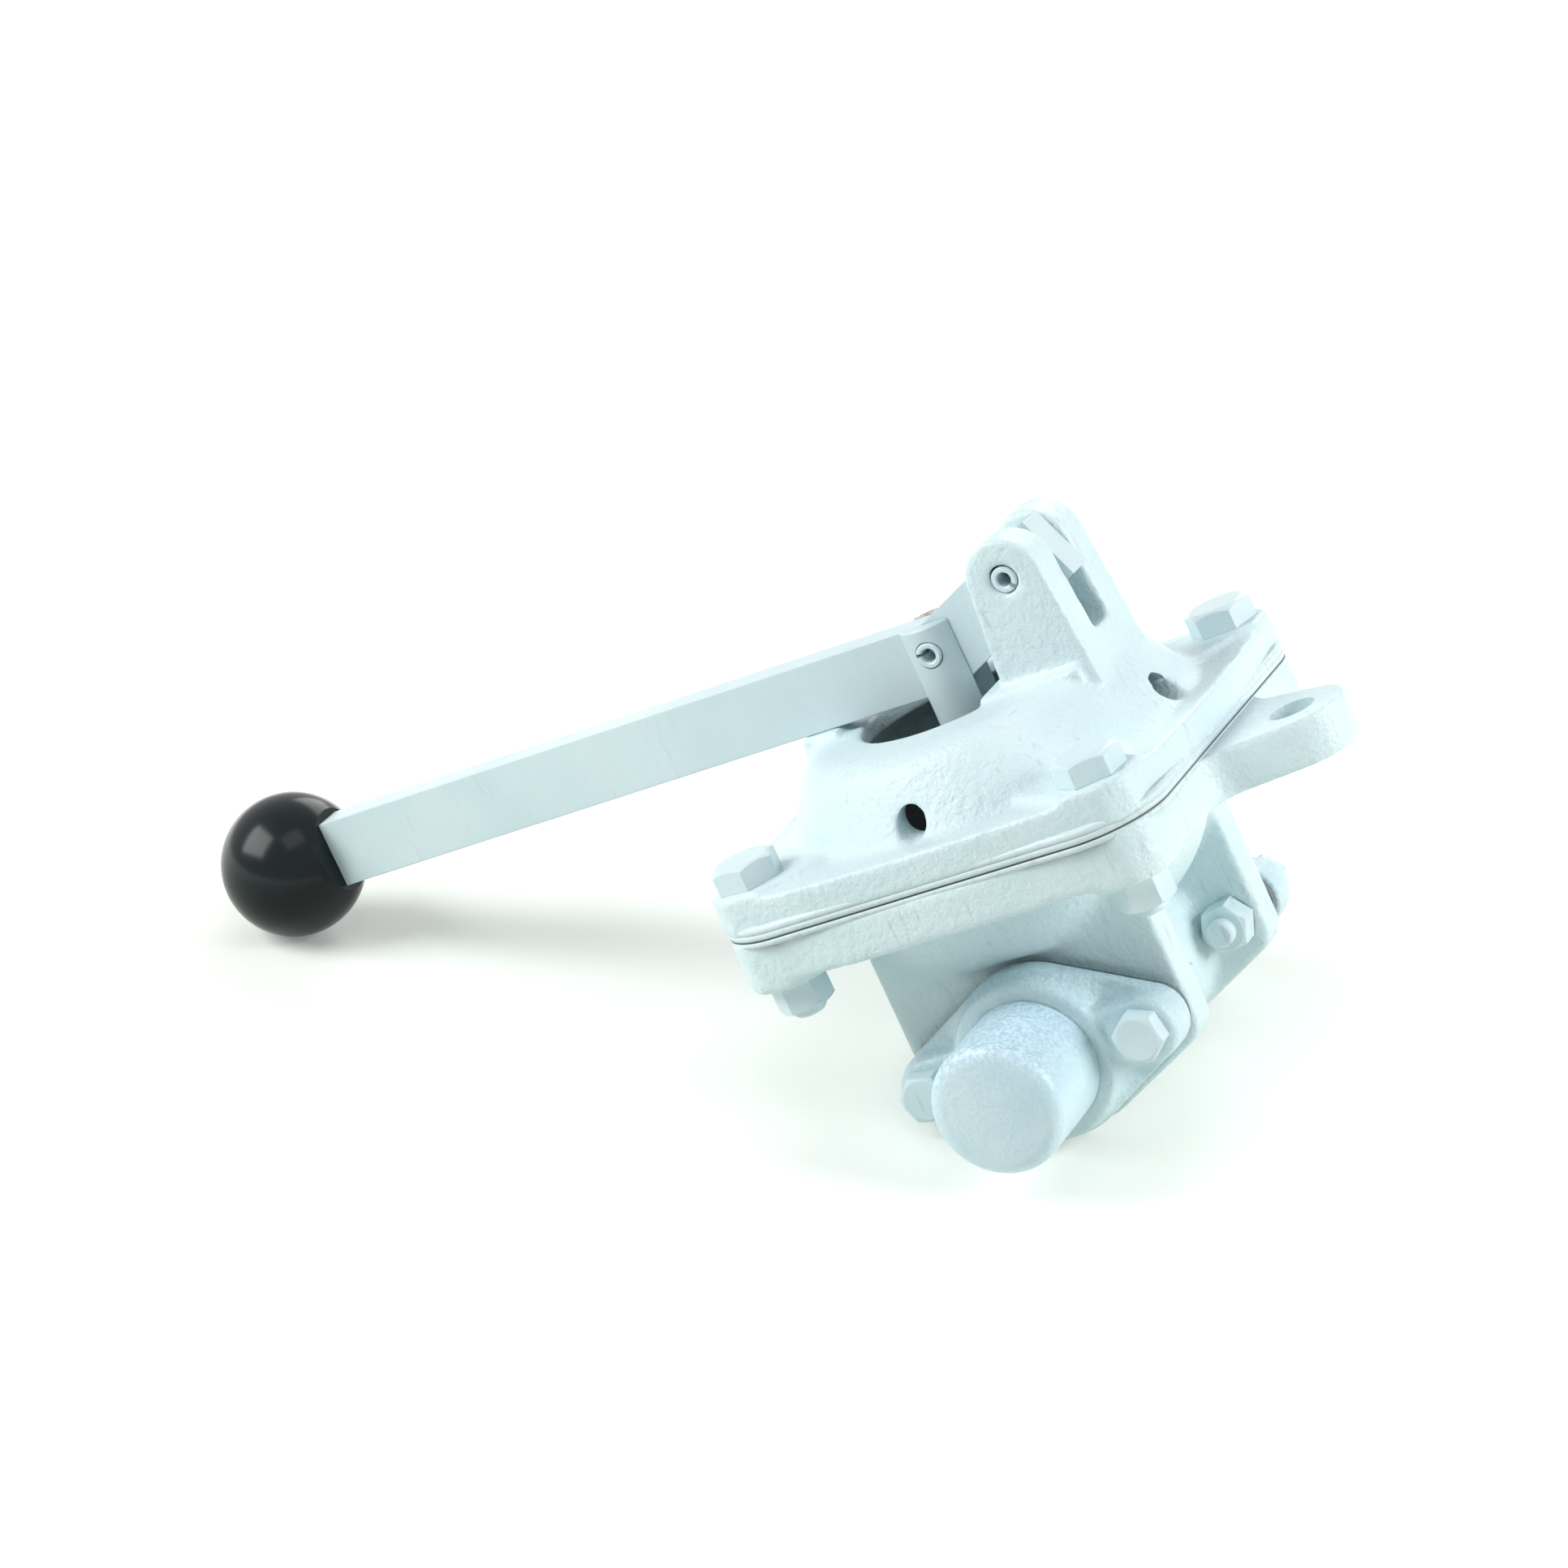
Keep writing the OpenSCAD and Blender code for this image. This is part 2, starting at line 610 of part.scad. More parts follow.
// Pull rod: slotted head for the lever, plain shank and threaded stud
module pull_rod() {
    chamfer = 0.8;
    stud_chamfer = 1.5;
    color(paint) on_pump() difference() {
        rotate_extrude($fn = fine)
            polygon([[0, stud_end_z], [stud_d / 2 - stud_chamfer, stud_end_z],
                     [stud_d / 2, stud_end_z + stud_chamfer], [stud_d / 2, rod_foot_z],
                     [rod_d / 2 - chamfer, rod_foot_z], [rod_d / 2, rod_foot_z + chamfer],
                     [rod_d / 2, pin_z + rod_top - chamfer], [rod_d / 2 - chamfer, pin_z + rod_top],
                     [0, pin_z + rod_top]]);
        translate([-rod_d, -slot_w / 2, pin_z - rod_slot_depth])
            cube([2 * rod_d, slot_w, rod_slot_depth + rod_top + over]);
        translate([0, 0, pin_z]) rotate([90, 0, 0]) cylinder(d = pin_d, h = rod_d + 2 * over, center = true);
    }
}

module rod_washer() {
    color(steel) on_pump() translate([0, 0, nut_face_z]) difference() {
        cylinder(d = stud_d + 14, h = washer_t, $fn = fine);
        translate([0, 0, -over]) cylinder(d = stud_d + 2 * washer_gap, h = washer_t + 2 * over);
    }
}

// Hexagon nut with both ends chamfered, its bearing face at z = 0 and its body below
module hex_nut(af, bore, height) {
    across = af / cos(30);
    translate([0, 0, -height]) difference() {
        intersection() {
            cylinder(d = across, h = height, $fn = 6);
            rotate_extrude($fn = small)
                polygon([[0, 0], [af / 2, 0], [across / 2, (across - af) / 2 * 0.6],
                         [across / 2, height - (across - af) / 2 * 0.6], [af / 2, height], [0, height]]);
        }
        translate([0, 0, -over]) cylinder(d = bore, h = height + 2 * over);
    }
}

// Hexagon bolt with its head above z = 0 and its shank below
module hex_bolt(grip) {
    across = hex_af / cos(30);
    shank = grip + nut_h + bolt_tip;
    intersection() {
        cylinder(d = across, h = head_h, $fn = 6);
        rotate_extrude($fn = small)
            polygon([[0, 0], [across / 2, 0], [across / 2, head_h - (across - hex_af) / 2 * 0.6],
                     [hex_af / 2 - 0.5, head_h], [0, head_h]]);
    }
    rotate_extrude($fn = small)
        polygon([[0, 0.01], [bolt_d / 2, 0.01], [bolt_d / 2, -shank + 1], [bolt_d / 2 - 1, -shank],
                 [0, -shank]]);
}

module rod_nut() {
    color(steel) on_pump() translate([0, 0, nut_face_z]) hex_nut(rod_nut_af, stud_d, rod_nut_h);
}

// Slotted spring pin along Y, its slit turned to the given angle
module spring_pin(length, slit_angle) {
    rotate([90, 0, 0]) rotate([0, 0, slit_angle]) difference() {
        cylinder(d = pin_d, h = length, center = true);
        cylinder(d = pin_d - 2 * pin_wall, h = length + 2 * over, center = true);
        translate([0, -pin_slit / 2, -length / 2 - over]) cube([pin_d, pin_slit, length + 2 * over]);
    }
}

module rod_pin() {
    color(paint) on_pump() translate([0, 0, pin_z]) spring_pin(rod_d - 1.5, 160);
}

module pivot_pin() {
    color(paint) on_pump() translate([pivot_x, 0, pivot_z]) spring_pin(2 * ear_outer - 1, -60);
}

// Flat bar cranked at the rod pin and cut square past the pivot
bar_end_x = -lever_reach + ball_flat - ball_socket;
function along(d, side) =
    [d * cos(crank_angle) - side * sin(crank_angle), d * sin(crank_angle) + side * cos(crank_angle)];
module lever() {
    up = pin_edge;
    down = bar_h - pin_edge;
    kink = tan(crank_angle / 2);
    tail = crank_len + bar_tail;
    color(paint) on_pump() translate([0, 0, pin_z]) rotate([90, 0, 0]) difference() {
        linear_extrude(bar_t, center = true)
            polygon([[bar_end_x, up], [-up * kink, up], along(tail, up), along(tail, -down),
                     [down * kink, -down], [bar_end_x, -down]]);
        cylinder(d = rod_hole_d, h = 2 * bar_t, center = true);
        translate([pivot_x, crank_rise]) cylinder(d = rod_hole_d, h = 2 * bar_t, center = true);
    }
}

// Ball knob with a flat and a socket for the bar
module ball_knob() {
    bar_mid_z = (bar_top_z + bar_foot_z) / 2;
    color(black_gloss) on_pump() translate([-lever_reach, 0, bar_mid_z]) difference() {
        sphere(d = ball_d, $fn = fine);
        translate([ball_flat, -ball_d, -ball_d]) cube([ball_d, 2 * ball_d, 2 * ball_d]);
        translate([ball_flat - ball_socket, -bar_t / 2, -bar_h / 2]) cube([ball_d, bar_t, bar_h]);
    }
}

cover_grip = boss_z - nut_seat_z;
module cover_bolts() {
    color(paint) on_pump() at_cover_bolts() translate([0, 0, boss_z]) rotate([0, 0, 12]) hex_bolt(cover_grip);
}

module cover_nuts() {
    color(paint) on_pump() at_cover_bolts() translate([0, 0, nut_seat_z]) rotate([0, 0, 20])
        hex_nut(hex_af, bolt_d, nut_h);
}

// Port frame: +Z of the children points outward along the port's axis, +Y of them stays up
module at_port(side) {
    on_pump() translate([0, 0, port_z]) rotate([90, 0, side < 0 ? 0 : 180]) children();
}

// Places children at both bolts of a port
module at_port_bolts() {
    for (s = [-1, 1]) translate([s * port_bolt_pitch / 2, 0, 0]) children();
}

// Corner points of the two-bolt outline, drawn smaller by the given amount
port_span = port_bolt_pitch / 2;
port_lean = asin((flange_mid_r - flange_end_r) / port_span);
function port_corners(less) =
    [for (m = [[1, 1], [1, -1], [-1, -1], [-1, 1]], i = [0, 1])
        let (mid = m[0] * m[1] > 0 ? i == 0 : i == 1, r = (mid ? flange_mid_r : flange_end_r) - less,
             x = mid ? 0 : port_span)
        [m[0] * (x + r * sin(port_lean)), m[1] * r * cos(port_lean)]];

// Two-bolt form with upright sides, h thick, drawn smaller by the given amount
module port_form(h, less) {
    linear_extrude(h) polygon(port_corners(less + inset));
    cylinder(r = flange_mid_r - less, h = h, $fn = fine);
    at_port_bolts() cylinder(r = flange_end_r - less, h = h, $fn = fine);
}

// Half section of a raised part of the pipe flange: rounded above, hollowed out to the rim below
function raised_section(half, h) =
    let (scoop = min(flange_scoop_r, h - flange_rim_t - flange_edge_r - 0.2))
    concat([[0, flange_rim_t - over], [half + scoop, flange_rim_t - over]],
           arc(half + scoop, flange_rim_t + scoop, scoop, -90, -180),
           arc(half - flange_edge_r, h - flange_edge_r, flange_edge_r, 0, 90), [[0, h]]);

// Straight raised bar through both bolt pads of the pipe flange
module raised_bar(half, h) {
    right = raised_section(half, h);
    left = [for (i = [len(right) - 2:-1:1]) [-right[i][0], right[i][1]]];
    rotate([90, 0, 90]) linear_extrude(port_bolt_pitch, center = true) polygon(concat(right, left));
}

// Hinge of a clack, in the seat's own frame: its height over the port axis and its place
// over the seat's face
lug_w = 3;
lug_x = 6;
lug_half = hinge_d / 2 + 1;
knuckle_r = hinge_d / 2 + 1.25;
hinge_off = knuckle_r + 0.25;
hinge_y = seat_d / 2 + over + knuckle_r + 0.25;

// Valve seat ring with two lugs for the hinge pin, on the side that the clack opens to
module valve_seat() {
    difference() {
        union() {
            cylinder(d = port_bore_d, h = seat_t, $fn = fine);
            for (s = [-1, 1]) translate([s * (lug_x + lug_w / 2) - lug_w / 2, hinge_y - lug_half, seat_t - over])
                cube([lug_w, 2 * lug_half, hinge_off + lug_half + over]);
        }
        translate([0, 0, -over]) cylinder(d = seat_d, h = seat_t + 2 * over, $fn = fine);
        translate([-port_bore_d, hinge_y, seat_t + hinge_off]) rotate([0, 90, 0])
            cylinder(d = hinge_d, h = 2 * port_bore_d);
    }
}

// Hinge pin of a clack
module valve_pin() {
    translate([-lug_x - lug_w, hinge_y, seat_t + hinge_off]) rotate([0, 90, 0])
        cylinder(d = hinge_d, h = 2 * (lug_x + lug_w));
}

// Metal disc of a clack with its hinge knuckle
clack_cut_y = hinge_y - lug_half - 1.3;
module valve_clack() {
    knuckle_w = 2 * (lug_x - hinge_gap);
    back = seat_t + clack_off + facing_t;
    difference() {
        union() {
            translate([0, 0, back]) intersection() {
                cylinder(d = clack_d, h = clack_t, $fn = fine);
                translate([-clack_d, -clack_d, 0]) cube([2 * clack_d, clack_d + clack_cut_y, clack_t]);
            }
            translate([-knuckle_w / 2, hinge_y - lug_half - 3, back])
                cube([knuckle_w, lug_half + 3, min(clack_t, hinge_off + knuckle_r + seat_t - back)]);
            translate([-knuckle_w / 2, hinge_y, seat_t + hinge_off]) rotate([0, 90, 0])
                cylinder(r = knuckle_r, h = knuckle_w);
        }
        translate([-knuckle_w, hinge_y, seat_t + hinge_off]) rotate([0, 90, 0])
            cylinder(d = hinge_d + 2 * pin_gap, h = 2 * knuckle_w);
    }
}

// Rubber facing bonded under the clack
module valve_facing() {
    translate([0, 0, seat_t + clack_off]) intersection() {
        cylinder(d = clack_d - 1, h = facing_t, $fn = fine);
        translate([-clack_d, -clack_d, 0])
            cube([2 * clack_d, clack_d + hinge_y - knuckle_r - 0.2, facing_t]);
    }
}

// Flat gasket under a pipe flange
module port_gasket() {
    translate([0, 0, plate_face]) difference() {
        port_form(gasket_t, gasket_recess);
        translate([0, 0, -over]) cylinder(d = port_bore_d + 1, h = gasket_t + 2 * over, $fn = fine);
        at_port_bolts() translate([0, 0, -over]) cylinder(d = bolt_hole_d, h = gasket_t + 2 * over);
    }
}

// Pipe flange: thin two-bolt rim with a raised hub, which takes the pipe, and raised bolt pads
module pipe_flange() {
    pad_h = pipe_flange_t - pad_drop;
    pad_half = flange_end_r - 0.5;
    translate([0, 0, gasket_face]) difference() {
        union() {
            port_form(flange_rim_t, 0);
            intersection() {
                port_form(pipe_flange_t + over, 0);
                union() {
                    raised_bar(pad_half - inset, pad_h);
                    at_port_bolts() rotate_extrude($fn = fine) polygon(raised_section(pad_half, pad_h));
                    rotate_extrude($fn = fine) polygon(raised_section(flange_hub_r, pipe_flange_t));
                }
            }
        }
        translate([0, 0, -over]) cylinder(d = port_bore_d + 1, h = 2 * pipe_flange_t, $fn = fine);
        translate([0, 0, pipe_start - gasket_face]) cylinder(d = pipe_tail_d, h = 2 * pipe_seat, $fn = fine);
        at_port_bolts() translate([0, 0, -over]) cylinder(d = bolt_hole_d, h = 2 * pipe_flange_t);
    }
}

// Short pipe stub, with a shoulder on the boss and a reduced end in it
module pipe_stub() {
    rotate_extrude($fn = fine)
        polygon([[pipe_bore_d / 2, pipe_start], [pipe_tail_d / 2, pipe_start], [pipe_tail_d / 2, flange_face],
                 [pipe_d / 2, flange_face], [pipe_d / 2, pipe_end], [pipe_bore_d / 2, pipe_end]]);
}

// Blanking cap: a disc flush with the pipe, rounded at its edge, and a spigot in its bore
module pipe_cap() {
    cap_round = cap_t - 0.5;
    rotate_extrude($fn = fine)
        polygon(concat([[0, pipe_end - cap_spigot], [pipe_bore_d / 2 - 1, pipe_end - cap_spigot],
                        [pipe_bore_d / 2, pipe_end - cap_spigot + 1], [pipe_bore_d / 2, pipe_end],
                        [pipe_d / 2, pipe_end]],
                       arc(pipe_d / 2 - cap_round, pipe_end + cap_t - cap_round, cap_round, 0, 90, 6),
                       [[0, pipe_end + cap_t]]));
}

module port_bolts() {
    for (i = [0, 1]) translate([(2 * i - 1) * port_bolt_pitch / 2, 0, pad_face])
        rotate([0, 0, port_head_turn[i]]) hex_bolt(pad_face - plate_back);
}

module port_nuts() {
    at_port_bolts() translate([0, 0, plate_back]) rotate([0, 0, 30])
        hex_nut(hex_af, bolt_d, nut_h);
}

// The outlet's clack opens outward, the inlet's opens inward: flow runs from +Y to -Y
module at_seat(side) {
    at_port(side) translate([0, 0, side < 0 ? plate_face - seat_t : plate_face])
        mirror([0, 0, side < 0 ? 0 : 1]) children();
}

module outlet_plate() {
    port_plate(-1);
}

module inlet_plate() {
    port_plate(1);
}

module outlet_seat() {
    color(bronze) at_seat(-1) valve_seat();
}

module outlet_clack() {
    color(steel) at_seat(-1) valve_clack();
}

module outlet_facing() {
    color(rubber) at_seat(-1) valve_facing();
}

module outlet_hinge_pin() {
    color(steel) at_seat(-1) valve_pin();
}

module outlet_gasket() {
    color(rubber) at_port(-1) port_gasket();
}

module outlet_flange() {
    color(paint) at_port(-1) pipe_flange();
}

module outlet_pipe() {
    color(paint) at_port(-1) pipe_stub();
}

module outlet_cap() {
    color(paint) at_port(-1) pipe_cap();
}

module outlet_bolts() {
    color(paint) at_port(-1) port_bolts();
}

module outlet_nuts() {
    color(paint) at_port(-1) port_nuts();
}

module inlet_seat() {
    color(bronze) at_seat(1) valve_seat();
}

module inlet_clack() {
    color(steel) at_seat(1) valve_clack();
}

module inlet_facing() {
    color(rubber) at_seat(1) valve_facing();
}

module inlet_hinge_pin() {
    color(steel) at_seat(1) valve_pin();
}

module inlet_gasket() {
    color(rubber) at_port(1) port_gasket();
}

module inlet_flange() {
    color(paint) at_port(1) pipe_flange();
}

module inlet_pipe() {
    color(paint) at_port(1) pipe_stub();
}

module inlet_cap() {
    color(paint) at_port(1) pipe_cap();
}

module inlet_bolts() {
    color(paint) at_port(1) port_bolts();
}

module inlet_nuts() {
    color(paint) at_port(1) port_nuts();
}

top_cover();
lower_casing();
casing_bowl();
valve_chest();
diaphragm();
upper_plate();
lower_plate();
pull_rod();
rod_washer();
rod_nut();
rod_pin();
pivot_pin();
lever();
ball_knob();
cover_bolts();
cover_nuts();
outlet_plate();
outlet_seat();
outlet_clack();
outlet_facing();
outlet_hinge_pin();
outlet_gasket();
outlet_flange();
outlet_pipe();
outlet_cap();
outlet_bolts();
outlet_nuts();
inlet_plate();
inlet_seat();
inlet_clack();
inlet_facing();
inlet_hinge_pin();
inlet_gasket();
inlet_flange();
inlet_pipe();
inlet_cap();
inlet_bolts();
inlet_nuts();
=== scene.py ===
import bmesh
import bpy
import numpy as np
from mathutils import Matrix, Vector


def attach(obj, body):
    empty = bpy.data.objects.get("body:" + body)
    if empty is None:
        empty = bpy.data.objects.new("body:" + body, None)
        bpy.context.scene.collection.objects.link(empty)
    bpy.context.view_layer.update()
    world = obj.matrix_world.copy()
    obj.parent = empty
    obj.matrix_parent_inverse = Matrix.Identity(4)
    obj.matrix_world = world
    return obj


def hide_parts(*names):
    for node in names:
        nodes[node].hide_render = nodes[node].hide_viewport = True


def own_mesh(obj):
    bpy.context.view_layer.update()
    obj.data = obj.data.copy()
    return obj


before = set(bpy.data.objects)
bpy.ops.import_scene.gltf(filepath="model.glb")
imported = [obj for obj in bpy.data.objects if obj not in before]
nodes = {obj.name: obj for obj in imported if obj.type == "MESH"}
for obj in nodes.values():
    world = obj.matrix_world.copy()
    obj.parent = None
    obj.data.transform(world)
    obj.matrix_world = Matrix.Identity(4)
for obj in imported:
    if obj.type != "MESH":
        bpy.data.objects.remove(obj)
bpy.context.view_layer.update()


# Camera and studio. A long lens looks at the near port, the dome and the lever from the
# right and a little above, rolled as a pump that leans on its knob is seen. The key lamp
# hangs high on the left, a strong lamp stands low on the right, and weak ones fill from
# above and behind.
def linked(name, data):
    """A new object that holds data, linked into the scene's collection."""
    thing = bpy.data.objects.new(name, data)
    bpy.context.collection.objects.link(thing)
    return thing


def unit(vector):
    """The vector brought to length 1."""
    return np.array(vector, float) / np.linalg.norm(vector)


def aimed(right, back, where):
    """Matrix of a camera or lamp at where, from its right and its backward direction."""
    matrix = np.eye(4)
    matrix[:3, :3] = np.stack([right, np.cross(back, right), back], 1)
    matrix[:3, 3] = where
    return Matrix(matrix.tolist())


camera_data = bpy.data.cameras.new("camera")
camera_data.sensor_width = 36.0
camera_data.lens = 140.55
camera_data.clip_end = 50.0
camera = linked("camera", camera_data)
camera_back = unit((0.4945, -0.8417, 0.2168))
camera_right = np.array([0.828, 0.3803, -0.412])
camera_right = unit(camera_right - camera_back * (camera_right @ camera_back))
camera.matrix_world = aimed(camera_right, camera_back, (0.8812, -1.8306, 0.5006))
bpy.context.scene.camera = camera


def area_lamp(name, where, width, height, watts):
    """A rectangular lamp at where, with its face turned to the middle of the pump."""
    pump_middle = (-0.13, 0.0, 0.0)
    data = bpy.data.lights.new(name, "AREA")
    data.shape = "RECTANGLE"
    data.size = width
    data.size_y = height
    data.energy = watts
    back = unit(np.subtract(where, pump_middle))
    right = unit(np.cross((0.0, 0.0, 1.0), back))
    linked(name, data).matrix_world = aimed(right, back, where)


area_lamp("key lamp", (-0.9, -0.7, 1.4), width=1.2, height=1.0, watts=29.5)
area_lamp("top lamp", (0.7, -0.7, 1.4), width=1.0, height=0.8, watts=4.0)
area_lamp("right lamp", (1.8, 0.15, 0.12), width=1.0, height=0.9, watts=31.0)
area_lamp("back lamp", (0.1, 1.7, 1.0), width=1.4, height=0.9, watts=13.0)


def add(tree, kind, links=(), **values):
    """A node with its properties and unlinked inputs set, and links into its inputs. An input
    is named with a capital letter, and with an underscore for each space."""
    node = tree.nodes.new(kind)
    for key, value in values.items():
        if hasattr(node, key) and not key[0].isupper():
            setattr(node, key, value)
        else:
            node.inputs[key.replace("_", " ")].default_value = value
    for target, source in links:
        tree.links.new(source, node.inputs[target])
    return node


def ramp(tree, source, low, high, out_low=0.0, out_high=1.0, curve="LINEAR"):
    """source carried from the span low..high to out_low..out_high, and held at the ends."""
    node = add(tree, "ShaderNodeMapRange", [("Value", source)], interpolation_type=curve)
    for label, value in (("From Min", low), ("From Max", high), ("To Min", out_low), ("To Max", out_high)):
        node.inputs[label].default_value = value
    return node.outputs[0]


def product(tree, one, other):
    """Product of two masks, or of a mask and a number."""
    node = add(tree, "ShaderNodeMath", [(0, one)], operation="MULTIPLY")
    if hasattr(other, "is_linked"):
        tree.links.new(other, node.inputs[1])
    else:
        node.inputs[1].default_value = other
    return node.outputs[0]


def seen_directly(tree):
    """1 for rays from the camera, off gloss and through glass, and 0 for light on the object."""
    ray = add(tree, "ShaderNodeLightPath")
    seen = ray.outputs["Is Camera Ray"]
    for label in ("Is Glossy Ray", "Is Transmission Ray"):
        either = [(0, seen), (1, ray.outputs[label])]
        seen = add(tree, "ShaderNodeMath", either, operation="MAXIMUM").outputs[0]
    return seen


world = bpy.data.worlds.new("world")
bpy.context.scene.world = world
world.use_nodes = True
tree = world.node_tree
tree.nodes.clear()
fill = add(tree, "ShaderNodeBackground", Color=(0.92, 0.97, 1.0, 1.0), Strength=0.14)
white = add(tree, "ShaderNodeBackground", Color=(1.0, 1.0, 1.0, 1.0), Strength=1.0)
mix_links = [(0, seen_directly(tree)), (1, fill.outputs[0]), (2, white.outputs[0])]
background = add(tree, "ShaderNodeMixShader", mix_links)
add(tree, "ShaderNodeOutputWorld", [("Surface", background.outputs[0])])
bpy.context.scene.view_settings.view_transform = "Standard"


# Floor. The pump rests on its port plates and its knob, so the floor slopes against the
# frame. It turns to plain white away from the object, and its under side lets the view through.
def new_finish(name):
    """A new material, its node tree and the tree's Principled BSDF node."""
    material = bpy.data.materials.new(name)
    material.use_nodes = True
    return material, material.node_tree, material.node_tree.nodes["Principled BSDF"]


floor_slope = np.radians(26.25)
floor_drop = 0.1532
floor_half = 6.0
floor_up = np.array([np.sin(floor_slope), 0.0, np.cos(floor_slope)])
floor_along = np.array([np.cos(floor_slope), 0.0, -np.sin(floor_slope)])
floor_across = np.array([0.0, 1.0, 0.0])
under_lever = np.array([-0.24, 0.0, 0.0])
floor_middle = under_lever - (floor_drop + floor_up @ under_lever) * floor_up
floor_corners = []
for x, y in ((-1, -1), (1, -1), (1, 1), (-1, 1)):
    corner = floor_middle + floor_half * (x * floor_along + y * floor_across)
    floor_corners.append(corner.tolist())
floor_mesh = bpy.data.meshes.new("floor")
floor_mesh.from_pydata(floor_corners, [], [(0, 1, 2, 3)])
floor = linked("floor", floor_mesh)

shadow_reach = 0.18
white_from = 0.42
near_glow = 0.2
floor_paint, tree, bsdf = new_finish("floor_paint")
bsdf.inputs["Base Color"].default_value = (0.80, 0.83, 0.78, 1.0)
bsdf.inputs["Roughness"].default_value = 0.9
bsdf.inputs["Specular IOR Level"].default_value = 0.0
bsdf.inputs["Emission Color"].default_value = (1.0, 1.0, 1.0, 1.0)
place = add(tree, "ShaderNodeTexCoord").outputs["Object"]
offset = add(tree, "ShaderNodeVectorMath", [(0, place)], operation="DISTANCE")
offset.inputs[1].default_value = floor_middle.tolist()
glow = ramp(tree, offset.outputs["Value"], shadow_reach, white_from, near_glow, 1.0, curve="SMOOTHSTEP")
tree.links.new(product(tree, seen_directly(tree), glow), bsdf.inputs["Emission Strength"])
under = add(tree, "ShaderNodeNewGeometry").outputs["Backfacing"]
clear = add(tree, "ShaderNodeBsdfTransparent")
surface = add(tree, "ShaderNodeMixShader", [(0, under), (1, bsdf.outputs[0]), (2, clear.outputs[0])])
tree.links.new(surface.outputs[0], tree.nodes["Material Output"].inputs["Surface"])
floor_mesh.materials.append(floor_paint)


# Lower casing. One sand casting in iron: square flange with the mounting lug, a bowl under
# the diaphragm, and two port plates joined by the valve chest. Its edges and corners are
# full of small fillets, and pale enamel is sprayed over the whole of it.
def close_bores(body, bores):
    """Takes the wall of each bore out of the solids in body and caps its two rims. A bore is
    given as (centre, axis, radius, half length)."""
    on_wall = 1e-5
    for centre, axis, radius, half in bores:
        centre, axis = Vector(centre), Vector(axis)
        wall = [
            face
            for face in body.faces
            if all(abs((v.co - centre).cross(axis).length - radius) < on_wall for v in face.verts)
            and abs((face.calc_center_median() - centre).dot(axis)) < half
        ]
        bmesh.ops.delete(body, geom=wall, context="FACES")
        rims = [edge for edge in body.edges if edge.is_boundary]
        bmesh.ops.holes_fill(body, edges=rims, sides=0)


def apply_modifiers(piece):
    """Puts the mesh that piece's modifiers make in place of its own."""
    shape = piece.evaluated_get(bpy.context.evaluated_depsgraph_get())
    mesh = bpy.data.meshes.new_from_object(shape)
    mesh.name = piece.name
    piece.modifiers.clear()
    piece.data = mesh


def soften(mesh, voxel, rounds, flats):
    """Moves each point of a net of squares voxel wide some way to the mean of its neighbours,
    rounds times over. After each move, points on a flat (axis, level) go back to its level,
    and the closer a point lies to a flat, the less it moves."""
    step, calm_reach, least_move, on_flat = 0.6, 0.004, 0.3, 0.35 * voxel
    count = len(mesh.vertices)
    points = np.empty(3 * count)
    mesh.vertices.foreach_get("co", points)
    points = points.reshape(-1, 3)
    ends = np.empty(2 * len(mesh.edges), dtype=np.int64)
    mesh.edges.foreach_get("vertices", ends)
    one, other = ends.reshape(-1, 2).T
    neighbours = np.bincount(ends, minlength=count)[:, None]
    free = np.ones((count, 1))
    held = []
    for axis, level in flats:
        away = np.abs(points[:, axis : axis + 1] - level)
        free = np.minimum(free, np.clip(away / calm_reach, least_move, 1.0))
        held.append((away[:, 0] < on_flat, axis, level))
    for _ in range(rounds):
        total = np.empty((count, 3))
        for k in range(3):
            total[:, k] = np.bincount(one, points[other, k], count)
            total[:, k] += np.bincount(other, points[one, k], count)
        points += step * free * (total / neighbours - points)
        for rows, axis, level in held:
            points[rows, axis] = level
    mesh.vertices.foreach_set("co", points.ravel())
    mesh.update()


def drill_bores(piece, bores):
    """Cuts each bore out of piece with a cylinder, which leaves its rims sharp."""
    drill = bmesh.new()
    for centre, axis, radius, half in bores:
        turn = Vector(axis).to_track_quat("Z", "Y").to_matrix().to_4x4()
        bmesh.ops.create_cone(
            drill,
            cap_ends=True,
            segments=64,
            radius1=radius,
            radius2=radius,
            depth=2 * half,
            matrix=Matrix.Translation(centre) @ turn,
        )
    drill_mesh = bpy.data.meshes.new(piece.name + "_drill")
    drill.to_mesh(drill_mesh)
    drill.free()
    drill_piece = linked(piece.name + "_drill", drill_mesh)
    cut = piece.modifiers.new("cut", "BOOLEAN")
    cut.object = drill_piece
    apply_modifiers(piece)
    bpy.data.objects.remove(drill_piece)


def shade_smooth(mesh, sharp_angle):
    """Smooth shading, broken at edges that turn by more than sharp_angle degrees."""
    mesh.polygons.foreach_set("use_smooth", np.ones(len(mesh.polygons), dtype=bool))
    mesh.set_sharp_from_angle(angle=np.radians(sharp_angle))


